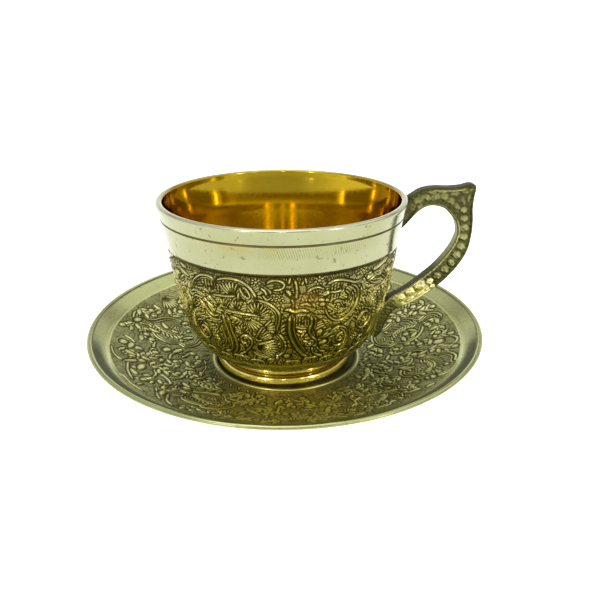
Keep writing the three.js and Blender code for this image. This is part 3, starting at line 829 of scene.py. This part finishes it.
def make_saucer(relief):
    """The dish. Its profile runs from the middle of the underside round the roll to the seat."""
    angles = around(1600)
    inner_r = SEAT_RING_R + SEAT_RING_W / 2
    edge_r = SAUCER_R - BORDER_W
    roll_z = SAUCER_H - ROLL_T / 2
    dish = bezier([(inner_r, SHEET), (inner_r + 12, SHEET), (edge_r - 9, roll_z - BORDER_RISE - 3.9),
                   (edge_r, roll_z - BORDER_RISE)], 200)
    border = np.stack([np.linspace(edge_r, SAUCER_R - ROLL_W, 9),
                       np.linspace(roll_z - BORDER_RISE, roll_z, 9)], 1)
    # A turned line where the border leaves the field
    border[1:3, 1] += np.array([0.16, 0.05])
    under = resample(shifted(np.vstack([dish, border[1:]]), -SHEET)[1:-1], 1.6)
    turn = np.linspace(-90, 180, 25)
    roll = arc(SAUCER_R - ROLL_W / 2, roll_z, ROLL_W / 2, ROLL_T / 2, -90, 180, len(turn))
    ring = arc(SEAT_RING_R, SHEET, SEAT_RING_W / 2, SEAT_RING_H, 0, 180, 11)[1:]
    field = resample(dish, 0.2)
    bottom = np.array([[inner_r * s, 0] for s in (AXIS, 0.35, 0.7, 1.0)])
    seat = np.array([[(SEAT_RING_R - SEAT_RING_W / 2) * s, SHEET] for s in (0.97, 0.9, 0.6, 0.3, AXIS)])
    profile = np.vstack([bottom, under, roll, border[::-1][1:-1], field[::-1], ring, seat])
    rings = spun(profile, angles)
    rolled = len(bottom) + len(under)
    bordered = rolled + len(roll)
    start = bordered + len(border) - 2
    rows = np.arange(start, start + len(field))
    seat_row = len(profile) - len(seat)
    radius = profile[rows, 0][:, None]
    h = relief.at(radius * np.sin(angles), -radius * np.cos(angles))
    edge = smooth((edge_r - 0.1 - radius) / 0.6) * smooth((radius - inner_r - 0.1) / 0.8)
    raise_rows(rings, profile, rows, angles, (h - PLAIN) * SAUCER_RELIEF * edge)
    patina_and_shade = np.zeros(rings.shape[:2])
    patina_and_shade[rows] = hollow(h, 0.34, 0.52) * edge
    # The roll is painted darker below and inside its crest, leaving the crest bright: painted shade
    patina_and_shade[rolled:bordered] = (0.45 * smooth((62 - turn) / 25) + 0.6 * smooth((turn - 128) / 25))[:, None]
    # The border is painted darker in front and beside the roll, as painted shade, and the seat ring is
    # painted darker toward the seat, as painted shadow under the foot
    front = 0.12 + 0.88 * smooth((np.cos(angles) + 0.02) / 0.5)
    patina_and_shade[bordered:start] = np.array([0.95, 0.92, 0.86, 0.76, 0.6, 0.4, 0.2])[:, None] * front
    patina_and_shade[seat_row - len(ring):seat_row] = np.linspace(0.55, 0.7, len(ring))[:, None]
    # The seat under the foot is painted dark: a painted shadow
    patina_and_shade[seat_row:] = 0.75
    materials = np.zeros(len(profile), int)
    materials[:rolled - 1] = 2
    materials[start:] = 1
    return turned("saucer_plate", rings, patina_and_shade, materials)


# Matching points on the handle's inner and outer outlines, from its root under the lip to its spur's tip
RUNGS = [((36.9, 44.4), (38.6, 54.4)), ((39.4, 46.9), (39.9, 55.6)), ((41.5, 49.4), (41.4, 56.7)),
         ((43.5, 51.4), (43.2, 57.8)), ((45.5, 52.6), (45.5, 58.5)), ((47.5, 53.0), (48.7, 58.8)),
         ((49.7, 52.7), (52.2, 58.7)), ((51.7, 51.9), (56.2, 59.0)), ((53.0, 50.6), (58.5, 59.6)),
         ((53.9, 49.7), (60.0, 59.6)), ((54.5, 49.0), (60.8, 58.8)), ((55.1, 48.2), (60.5, 55.5)),
         ((55.6, 47.2), (60.45, 52.0)), ((56.1, 45.6), (60.9, 48.2)), ((56.3, 43.4), (61.0, 44.4)),
         ((55.7, 41.1), (60.7, 40.6)), ((54.9, 39.3), (60.2, 38.2)), ((54.2, 38.0), (59.5, 36.3)),
         ((53.2, 36.5), (58.1, 33.7)), ((51.8, 34.6), (56.4, 31.2)), ((50.1, 32.6), (54.6, 29.0)),
         ((48.3, 30.8), (52.8, 27.0)), ((46.0, 28.8), (50.1, 24.7)), ((43.4, 26.5), (46.9, 22.1)),
         ((41.1, 24.8), (44.2, 20.2)), ((39.0, 23.4), (41.4, 18.75)), ((36.7, 22.2), (39.4, 18.05)),
         ((34.6, 20.8), (37.9, 17.3)), ((33.2, 19.0), (36.7, 16.1)), ((32.2, 16.6), (35.7, 14.3)),
         ((31.3, 14.0), (34.9, 12.5)), ((30.7, 11.4), (34.0, 10.3)), ((30.2, 9.2), (32.9, 8.0)),
         ((30.0, 7.6), (31.6, 6.7))]

# Its beads down the upright, the rubbed lumps on the lower limb and the leaves on the arm:
# centre, half length, half width and angle in degrees
BEADS = [(57.5, 51.5, 1.3, 1.2, 0), (57.9, 48.7, 1.45, 1.25, 0), (58.4, 45.7, 1.55, 1.3, 5),
         (58.4, 42.6, 1.6, 1.3, 0), (57.9, 39.4, 1.6, 1.3, -14), (56.8, 36.5, 1.55, 1.3, -26),
         (55.3, 33.8, 1.5, 1.3, -36), (53.4, 31.4, 1.5, 1.3, -44), (51.1, 29.2, 1.45, 1.3, -48)]
LUMPS = [(48.6, 27.3, 1.5, 1.2, 25), (49.6, 25.6, 1.2, 0.9, 40), (45.4, 25.5, 2.3, 1.75, 36),
         (42.2, 23.3, 1.9, 1.6, 32), (39.5, 21.2, 1.6, 1.4, 34), (45.6, 22.9, 2.2, 0.6, 36),
         (47.9, 24.6, 1.1, 0.55, 40), (42.2, 20.8, 2.0, 0.6, 30)]
LEAVES = [(40.6, 52.3, 1.9, 1.4, 60), (42.6, 54.6, 1.7, 1.3, 20), (45.3, 55.6, 1.8, 1.2, -10),
          (48.2, 55.8, 1.7, 1.2, 25), (51.0, 55.9, 1.6, 1.2, -20), (53.2, 54.4, 1.6, 1.1, -40),
          (54.2, 56.8, 1.5, 0.8, 0), (55.2, 52.6, 1.5, 0.9, -50), (57.0, 54.6, 1.6, 0.8, -60),
          (58.8, 55.4, 1.5, 0.6, 80), (57.4, 57.3, 1.4, 0.6, -12), (43.4, 52.6, 1.2, 0.9, 40),
          (47.0, 57.2, 1.6, 0.6, 0), (50.4, 57.4, 1.5, 0.6, 0), (39.2, 49.6, 1.5, 1.1, 70),
          (59.2, 57.9, 0.9, 0.6, 30)]


def cast_skin(x, z):
    """The uneven skin of the casting, from a few crossed waves of random pitch and direction."""
    out = np.zeros(x.shape)
    for _ in range(14):
        pitch = 0.7 + 1.3 * rng.random()
        a = rng.random() * math.pi
        phase = rng.random() * 2 * math.pi
        out += np.sin((x * math.cos(a) + z * math.sin(a)) * 2 * math.pi / pitch + phase)
    return out * 0.024


def make_handle():
    """The handle, lofted from root to spur. Each lap goes over one face, the outer edge, the other face and
    the inner edge."""
    inner, outer = (spline(points, 14) for points in np.swapaxes(np.array(RUNGS), 0, 1))
    run = distances((inner + outer) / 2)
    rows = 480
    s = np.linspace(0, run[-1], rows)
    pi, po = (np.stack([np.interp(s, run, c[:, k]) for k in (0, 1)], 1) for c in (inner, outer))
    mid = (pi + po) / 2
    half = (po - pi) / 2
    faces = 43
    edges = 13
    edge = np.linspace(-1, 1, edges + 2)[1:-1]
    across = np.r_[np.linspace(-1, 1, faces), np.ones(edges), np.linspace(1, -1, faces), -np.ones(edges)]
    side = np.r_[-np.ones(faces), edge, np.ones(faces), -edge]
    cols = len(across)
    on_face = np.abs(side) > 0.999
    px = mid[:, :1] + across * half[:, :1]
    pz = mid[:, 1:] + across * half[:, 1:]

    def distance(curve):
        fine = resample(curve, 0.08)
        return np.hypot(px[:, :, None] - fine[:, 0], pz[:, :, None] - fine[:, 1]).min(2)

    d_in = distance(inner)
    d_out = distance(outer)
    nearest = np.minimum(d_in, d_out)
    # How far down the handle, between 0 and 1
    f = (s / s[-1])[:, None]

    # The sunk bed of the faces, inside a low border, and what stands up from it
    lift = -BED_DEPTH * smooth((nearest - 0.45) / 0.4) * smooth((f - 0.02) / 0.03) * smooth((0.8 - f) / 0.03)
    top_line = np.exp(-((d_out - 1.05) / 0.22) ** 2) * smooth((f - 0.12) / 0.05) * smooth((0.26 - f) / 0.03)
    lift = np.maximum(lift, -BED_DEPTH + 0.62 * top_line)
    rub_and_sheen = 0.35 * top_line
    for group, rise, wear in ((BEADS, 0.52, 0.13), (LUMPS, 0.72, 1.0), (LEAVES, 0.34, 0.05)):
        for x, z, a, b, turn in group:
            u, v = local(px, pz, x, z, turn)
            dome = np.sqrt(np.clip(1 - (u / a) ** 2 - (v / b) ** 2, 0, 1))
            lift = np.where(dome > 0, np.maximum(lift, -BED_DEPTH + rise * dome ** 1.3), lift)
            rub_and_sheen = np.maximum(rub_and_sheen, wear * smooth((dome - 0.3) / 0.6))
    # The lower limb and a rail along the inner edge are rubbed bright: partly real wear, partly a painted
    # highlight
    low = smooth((f - 0.655) / 0.03) * smooth((0.83 - f) / 0.03)
    outer_rim = smooth((0.8 - d_out) / 0.3)
    rub_and_sheen = np.maximum(rub_and_sheen, low * np.maximum(0.85, outer_rim))
    rail = smooth((1.0 - d_in) / 0.25) * smooth((d_in - 0.15) / 0.2) * smooth((f - 0.3) / 0.06)
    rub_and_sheen = np.maximum(rub_and_sheen, 0.34 * rail)
    lift = np.where(on_face, lift + cast_skin(px, pz) * (1 - 0.75 * low), 0)

    # The faces fall off at their rims, and the edges are drawn in toward the faces
    inset = np.clip(ROUND_R - nearest, 0, ROUND_R)
    fall = ROUND_R - np.sqrt(np.clip(ROUND_R ** 2 - inset ** 2, 0, None))
    y = side * HANDLE_T / 2 + np.sign(side) * (lift - np.where(on_face, fall, 0))
    drawn_in = np.sign(across) * np.where(on_face, 0, np.abs(side) ** 6 * 0.25)
    unit = half / np.linalg.norm(half, axis=1)[:, None]
    points = np.stack([px - drawn_in * unit[:, :1] + CUP_X, y, pz - drawn_in * unit[:, 1:] + CUP_Z], -1)

    # The handle's edges are painted darker, the outer edge most along the upper arm and the inner edge most
    # on the lower limb: painted shade
    on_sides = (0.3 + 0.25 * smooth((0.34 - f) / 0.06) * (across > 0)
                + 0.36 * smooth((f - 0.52) / 0.12) * (across < 0))
    patina_and_shade = np.where(on_face, 0.62 * np.clip(-lift / BED_DEPTH, 0, 1), on_sides)
    patina_and_shade = np.maximum(patina_and_shade, 0.8 * smooth((0.12 - f) / 0.1))
    # The faces are painted darker along the outer rim, except on the lower limb: painted shade
    patina_and_shade = np.where(on_face, np.maximum(patina_and_shade, 0.62 * outer_rim * (1 - low)), patina_and_shade)

    u = np.arange(cols + 1) / cols * 0.97
    quads, uv = lattice(rows, cols, u, s / s[-1], [(0, 0), (1, 0), (1, 1), (0, 1)])
    # A point at the middle of each end closes it
    middle = rows * cols
    last = middle - cols
    here = np.arange(cols)
    after = (here + 1) % cols
    caps = np.vstack([np.stack([here, after, np.full(cols, middle)], 1),
                      np.stack([last + after, last + here, np.full(cols, middle + 1)], 1)])
    cap_uv = np.tile([(0.98, 0.98), (0.985, 0.98), (0.98, 0.985)], (len(caps), 1))
    verts = np.vstack([points.reshape(-1, 3), points[0].mean(0), points[-1].mean(0)])
    values = {key: np.r_[data.reshape(-1), 0.4, 0.4]
              for key, data in (("patina_and_shade", patina_and_shade), ("rub_and_sheen", np.where(on_face, rub_and_sheen, 0)))}
    return new_mesh("cup_ear", verts, [quads, caps], np.vstack([uv, cap_uv]), values)


class Nodes:
    """Short names for building a node tree, with its coordinates and their parts."""

    def __init__(self, tree, coords="Object"):
        self.tree = tree
        self.coords = self.new("ShaderNodeTexCoord").outputs[coords]
        split = self.new("ShaderNodeSeparateXYZ")
        self.link(self.coords, split.inputs[0])
        self.x, self.y, self.z = split.outputs

    def new(self, kind, **settings):
        node = self.tree.nodes.new(kind)
        for key, value in settings.items():
            setattr(node, key, value)
        return node

    def link(self, source, target):
        self.tree.links.new(source, target)

    def feed(self, node, values):
        """Gives a node's inputs, by name or number, what they take: numbers, colours or links."""
        for key, value in values.items():
            if isinstance(value, (int, float)):
                node.inputs[key].default_value = value
            elif isinstance(value, tuple):
                node.inputs[key].default_value = (*value, 1)
            else:
                self.link(value, node.inputs[key])
        return node

    def math(self, operation, *values, clamp=False):
        node = self.new("ShaderNodeMath", operation=operation, use_clamp=clamp)
        return self.feed(node, dict(enumerate(values))).outputs[0]

    def times(self, product, *factors):
        for factor in factors:
            product = self.math("MULTIPLY", product, factor)
        return product

    def scaled(self, value, factor, plus, clamp=False):
        """value times factor, plus a third value."""
        return self.math("MULTIPLY_ADD", value, factor, plus, clamp=clamp)

    def attribute(self, name):
        return self.new("ShaderNodeAttribute", attribute_name=name).outputs["Fac"]

    def noise(self, scale, detail, rough=0.55, vector=None):
        vector = self.coords if vector is None else vector
        values = {"Vector": vector, "Scale": scale, "Detail": detail, "Roughness": rough}
        return self.feed(self.new("ShaderNodeTexNoise"), values).outputs["Fac"]

    def spread(self, value, low, high, to_low=0.0, to_high=1.0):
        """Moves a value smoothly from to_low to to_high while it goes from low to high."""
        node = self.new("ShaderNodeMapRange", interpolation_type="SMOOTHSTEP")
        values = {"Value": value, "From Min": low, "From Max": high, "To Min": to_low, "To Max": to_high}
        return self.feed(node, values).outputs["Result"]

    def mix(self, factor, a, b, blend="MIX"):
        node = self.new("ShaderNodeMix", data_type="RGBA", blend_type=blend)
        return self.feed(node, {0: factor, 6: a, 7: b}).outputs[2]

    def bump(self, height, strength, distance, normal=None):
        values = {"Strength": strength, "Distance": distance, "Height": height}
        if normal is not None:
            values["Normal"] = normal
        return self.feed(self.new("ShaderNodeBump"), values).outputs["Normal"]

    def distance(self, x, y, z):
        """The distance of the surface from a point."""
        node = self.new("ShaderNodeVectorMath", operation="DISTANCE")
        self.link(self.coords, node.inputs[0])
        node.inputs[1].default_value = (x, y, z)
        return node.outputs["Value"]


def brass(name, light, deep, tarnish, rough, recess_rough=0.5, pits=0.2, lines=0.0, aniso=0.0, rubbed_sheen=None,
          marks=None):
    """Brass of two tones, with tarnish in the hollows and painted shade where the patina_and_shade values
    ask, and turning lines on lathe-cut faces.
    """
    material = bpy.data.materials.new(name)
    material.use_nodes = True
    n = Nodes(material.node_tree)
    cloud = n.noise(38, 4, 0.6)
    fine = n.noise(900, 3, 0.6)
    grime = n.noise(170, 5, 0.65)
    spots = n.spread(n.noise(650, 2, 0.5), 0.655, 0.7, 0.0, pits)
    tone = n.mix(spots, n.mix(n.spread(cloud, 0.34, 0.68), light, deep), tarnish)
    # Darkening toward the tarnish colour: patina in hollows, and painted shade where the mesh asks for it
    tarnish_and_shade = n.scaled(n.math("SUBTRACT", grime, 0.5), 0.35, n.attribute("patina_and_shade"))
    tarnish_and_shade = n.spread(tarnish_and_shade, 0.1, 0.85)
    colour = n.mix(tarnish_and_shade, tone, tarnish)
    wear = n.scaled(n.math("SUBTRACT", fine, 0.5), 0.16, rough)
    wear = n.scaled(n.spread(cloud, 0.35, 0.7), 0.05, wear)
    wear = n.scaled(tarnish_and_shade, recess_rough - rough, wear, clamp=True)
    # Rubbed places are painted paler: partly wear, partly a painted highlight
    if rubbed_sheen:
        rub_and_sheen = n.times(n.attribute("rub_and_sheen"), n.spread(grime, 0.25, 0.5, 0.6, 1.0))
        colour = n.mix(rub_and_sheen, colour, rubbed_sheen)
        wear = n.scaled(rub_and_sheen, RUBBED_ROUGH - rough, wear, clamp=True)
    height = n.scaled(grime, 0.6, n.times(fine, 0.35))
    normal = n.bump(n.scaled(spots, -1.4, height), 0.25, 0.00006)
    if lines:
        radius = n.math("SQRT", n.math("ADD", n.math("POWER", n.x, 2.0), n.math("POWER", n.y, 2.0)))
        run = n.feed(n.new("ShaderNodeCombineXYZ"), {"X": radius, "Z": n.z})
        normal = n.bump(n.noise(2600, 3, 0.7, run.outputs[0]), lines, 0.00003, normal)
    if marks:
        colour, normal = marks(n, grime, colour, normal)
    bsdf = n.tree.nodes["Principled BSDF"]
    n.feed(bsdf, {"Base Color": colour, "Roughness": wear, "Normal": normal, "Metallic": 1.0})
    if aniso:
        tangent = n.new("ShaderNodeTangent", direction_type="RADIAL", axis="Z").outputs[0]
        n.feed(bsdf, {"Anisotropic": aniso, "Anisotropic Rotation": 0.25, "Tangent": tangent})
    return material


def band_marks(n, grime, colour, normal):
    """The tool's chatter under the groove, as rows of fine upright ticks, a painted highlight along the lip's
    crown, and a stain along the groove.
    """
    angle = n.math("ARCTAN2", n.math("ADD", n.x, -CUP_X / 1000), n.times(n.y, -1.0))
    comb = n.spread(n.math("SINE", n.times(n.scaled(n.z, 9.0, angle), 345.0)), -0.5, 0.7)
    rows = n.times(n.spread(n.z, 0.0522, 0.0517), n.spread(n.z, 0.0484, 0.0497))
    front = n.times(n.spread(angle, -0.62, -0.1), n.spread(angle, 1.0, 0.45))
    ticks = n.times(comb, n.times(rows, front), n.spread(n.noise(110, 2), 0.3, 0.6, 0.45, 1.0))
    colour = n.mix(n.times(ticks, 0.75), colour, (0.27, 0.27, 0.11))
    pits = n.times(n.spread(n.noise(1700, 1), 0.71, 0.745), n.spread(n.noise(60, 3), 0.42, 0.62))
    colour = n.mix(pits, colour, (0.07, 0.06, 0.02))
    # The lip's crown is painted paler: a painted highlight
    colour = n.mix(n.spread(n.z, 0.0567, 0.0572), colour, (0.62, 0.63, 0.42))
    normal = n.bump(n.times(ticks, -1.0), 0.5, 0.00005, normal)
    by_groove = n.times(n.spread(n.z, 0.0495, 0.0521), n.spread(n.z, 0.0531, 0.0524))
    stain = n.times(by_groove, n.times(n.spread(angle, -0.75, -0.4), n.spread(angle, 0.5, -0.25)))
    stain = n.times(stain, n.spread(grime, 0.36, 0.62), 0.55)
    return n.mix(stain, colour, (0.4, 0.3, 0.06)), normal


def field_tones_and_sheen(n, grime, colour, normal):
    """The chased field is paler and greyer by the band, partly its tone and partly a painted highlight, with
    a warm stain in its middle.
    """
    # Paler and greyer toward the band: partly tone, partly painted highlight
    colour = n.mix(n.spread(n.z, 0.03, 0.0445), colour, (1.12, 1.22, 2.1), "MULTIPLY")
    near = n.spread(n.distance(0.0065, -0.0365, 0.0335), 0.0075, 0.002, 0.0, 0.45)
    return n.mix(n.times(near, n.spread(grime, 0.38, 0.62)), colour, (0.5, 0.28, 0.05)), normal


def front_painted_reflection(n, grime, colour, normal):
    """The saucer's field is painted yellower in front: a painted reflection of the cup's gold."""
    near = n.spread(n.distance(0.0, -0.038, 0.0), 0.034, 0.012)
    return n.mix(near, colour, (1.6, 1.42, 0.9), "MULTIPLY"), normal


def inside_painted_shade(n, grime, colour, normal):
    """Inside, the brass is painted a deeper gold by the mouth and on its floor than in between: painted
    shade.
    """
    colour = n.mix(n.spread(n.z, 0.0455, 0.0495), colour, (0.7, 0.64, 0.5), "MULTIPLY")
    return n.mix(n.spread(n.z, 0.0145, 0.011), colour, (0.8, 0.72, 0.9), "MULTIPLY"), normal


polished = brass("polished_band", (0.385, 0.4, 0.228), (0.352, 0.362, 0.19), (0.15, 0.13, 0.05), 0.16,
                 pits=0.6, lines=0.3, aniso=0.6, marks=band_marks)
chased = brass("chased_field", (0.46, 0.41, 0.112), (0.37, 0.31, 0.056), (0.05, 0.036, 0.003), 0.17,
               marks=field_tones_and_sheen)
amber = brass("bowl_inside", (0.74, 0.56, 0.04), (0.68, 0.50, 0.03), (0.14, 0.08, 0.015), 0.07, 0.4,
              pits=0.1, lines=0.1, aniso=0.5, marks=inside_painted_shade)
golden = brass("foot_brass", (0.86, 0.7, 0.2), (0.74, 0.58, 0.13), (0.16, 0.11, 0.015), 0.08,
               lines=0.2, aniso=0.3)
border = brass("saucer_border", (0.53, 0.56, 0.265), (0.49, 0.505, 0.215), (0.09, 0.096, 0.03), 0.16,
               pits=0.3, lines=0.3, aniso=0.5)
dish = brass("saucer_field", (0.78, 0.785, 0.38), (0.62, 0.625, 0.265), (0.088, 0.09, 0.02), 0.29, 0.55,
             marks=front_painted_reflection)
underside = brass("saucer_underside", (0.46, 0.45, 0.23), (0.38, 0.35, 0.15), (0.1, 0.085, 0.03), 0.34, 0.6,
                  pits=0.4, lines=0.4)
cast = brass("handle_cast", (0.22, 0.22, 0.08), (0.155, 0.15, 0.045), (0.05, 0.05, 0.017), 0.34,
             pits=0.4, rubbed_sheen=(1.0, 0.94, 0.42))

cup = make_cup(cup_relief())
for m in (polished, chased, amber):
    cup.data.materials.append(m)
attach(cup, "cup")
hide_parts("cup_bowl")

foot = make_foot()
foot.data.materials.append(golden)
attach(foot, "cup")
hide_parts("cup_foot_ring")

ear = make_handle()
ear.data.materials.append(cast)
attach(ear, "cup")
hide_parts("cup_handle")

plate = make_saucer(saucer_relief())
for m in (border, dish, underside):
    plate.data.materials.append(m)
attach(plate, "saucer")
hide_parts("saucer_dish")


def make_sweep():
    """Floor and backdrop, in one pale bowl of a sweep that goes all the way round, in metres."""
    floor_r, rise_r, top = 1.3, 0.7, 1.05
    bends = [toward(a - 90) for a in range(5, 91, 5)]
    curve = [(0.02, 0), (0.3, 0), (floor_r, 0)]
    curve += [(floor_r + rise_r * ca, rise_r * (1 + sa)) for ca, sa in bends]
    curve.append((floor_r + rise_r, top))
    cols = 96
    verts = [(r * ca, r * sa, z) for r, z in curve for ca, sa in map(toward, np.arange(cols) * 360 / cols)]
    faces = [(j * cols + i, j * cols + (i + 1) % cols, (j + 1) * cols + (i + 1) % cols, (j + 1) * cols + i)
             for j in range(len(curve) - 1) for i in range(cols)]
    mesh = bpy.data.meshes.new("sweep")
    mesh.from_pydata(verts, [], faces + [tuple(range(cols))])
    mesh.shade_smooth()
    material = bpy.data.materials.new("sweep_white")
    mesh.materials.append(material)
    material.use_nodes = True
    material.node_tree.nodes.clear()
    n = Nodes(material.node_tree)
    # It glows only for what looks at it or mirrors it, and more behind and to the left than in front
    seen = n.new("ShaderNodeLightPath").outputs
    mirrored = n.math("MAXIMUM", seen["Is Camera Ray"], seen["Is Glossy Ray"])
    looks = n.math("MAXIMUM", mirrored, seen["Is Transmission Ray"])
    level = n.times(n.spread(n.z, 0.02, 0.9, 0.78, 0.25), n.spread(n.y, -1.9, -0.8, 0.12, 1.0),
                    n.spread(n.x, 0.8, 1.9, 1.0, 0.6))
    glow = n.feed(n.new("ShaderNodeEmission"), {"Strength": n.times(looks, level)})
    diffuse = n.feed(n.new("ShaderNodeBsdfDiffuse"), {"Color": (0.85, 0.85, 0.85)})
    both = n.feed(n.new("ShaderNodeAddShader"), {0: diffuse.outputs[0], 1: glow.outputs[0]})
    n.feed(n.new("ShaderNodeOutputMaterial"), {"Surface": both.outputs[0]})
    obj = new_object("sweep", mesh)


def area_light(name, location, target, width, height, power):
    """A soft white box that lights the set, in metres and watts. The camera doesn't see it."""
    data = bpy.data.lights.new(name, "AREA")
    data.shape = "RECTANGLE"
    data.size = width
    data.size_y = height
    data.energy = power
    lamp = new_object(name, data)
    lamp.location = location
    lamp.rotation_euler = (Vector(target) - Vector(location)).to_track_quat("-Z", "Y").to_euler()
    lamp.visible_camera = False


make_sweep()
area_light("window_left", (-0.39, -0.58, 0.54), (0, 0, 0.2), 0.33, 0.66, 0.66)
area_light("window_right", (0.55, -0.44, 0.54), (0, 0, 0.2), 0.25, 0.66, 0.56)
area_light("glint_left", (-0.30, -0.47, 0.32), (0, 0, 0.02), 0.045, 0.26, 0.4)
area_light("glint_right", (0.42, -0.38, 0.32), (0, 0, 0.02), 0.045, 0.26, 0.4)
area_light("box_left", (-0.68, -0.25, 0.45), (0, 0, 0.03), 0.25, 0.45, 0.12)
area_light("strip_left", (-0.01, -0.49, 0.45), (0, 0, 0.05), 0.02, 0.26, 0.15)
area_light("strip_right", (0.27, -0.42, 0.45), (0, 0, 0.05), 0.02, 0.26, 0.12)
area_light("overhead", (-0.1, 0.1, 0.9), (0, 0, 0.03), 0.6, 0.5, 1.1)

# A pale room: a little brighter on the left and behind, with a bright ceiling toward the right
world = bpy.data.worlds.new("studio")
bpy.context.scene.world = world
world.use_nodes = True
n = Nodes(world.node_tree, "Generated")
across = n.spread(n.x, -0.8, 0.8, 0.4, 0.26)
front = n.spread(n.y, -0.7, -0.3, 0.5, 1.0)
above = n.times(n.spread(n.z, 0.44, 0.66), n.spread(n.x, -0.5, 0.5, 0.34, 0.72))
strength = n.math("ADD", n.times(across, front), above)
n.feed(world.node_tree.nodes["Background"], {"Color": (1, 1, 0.98), "Strength": strength})

# The camera, fitted to the photograph's outlines
camera = bpy.data.cameras.new("camera")
camera.sensor_width = 36
camera.lens = 36.70
camera.clip_start = 0.01
eye = new_object("camera", camera)
eye.location = (0, -0.190, 0.1034)
eye.rotation_euler = (math.radians(90 - 23.43), 0, math.radians(-1.46))
bpy.context.scene.camera = eye
bpy.context.scene.view_settings.view_transform = "Standard"
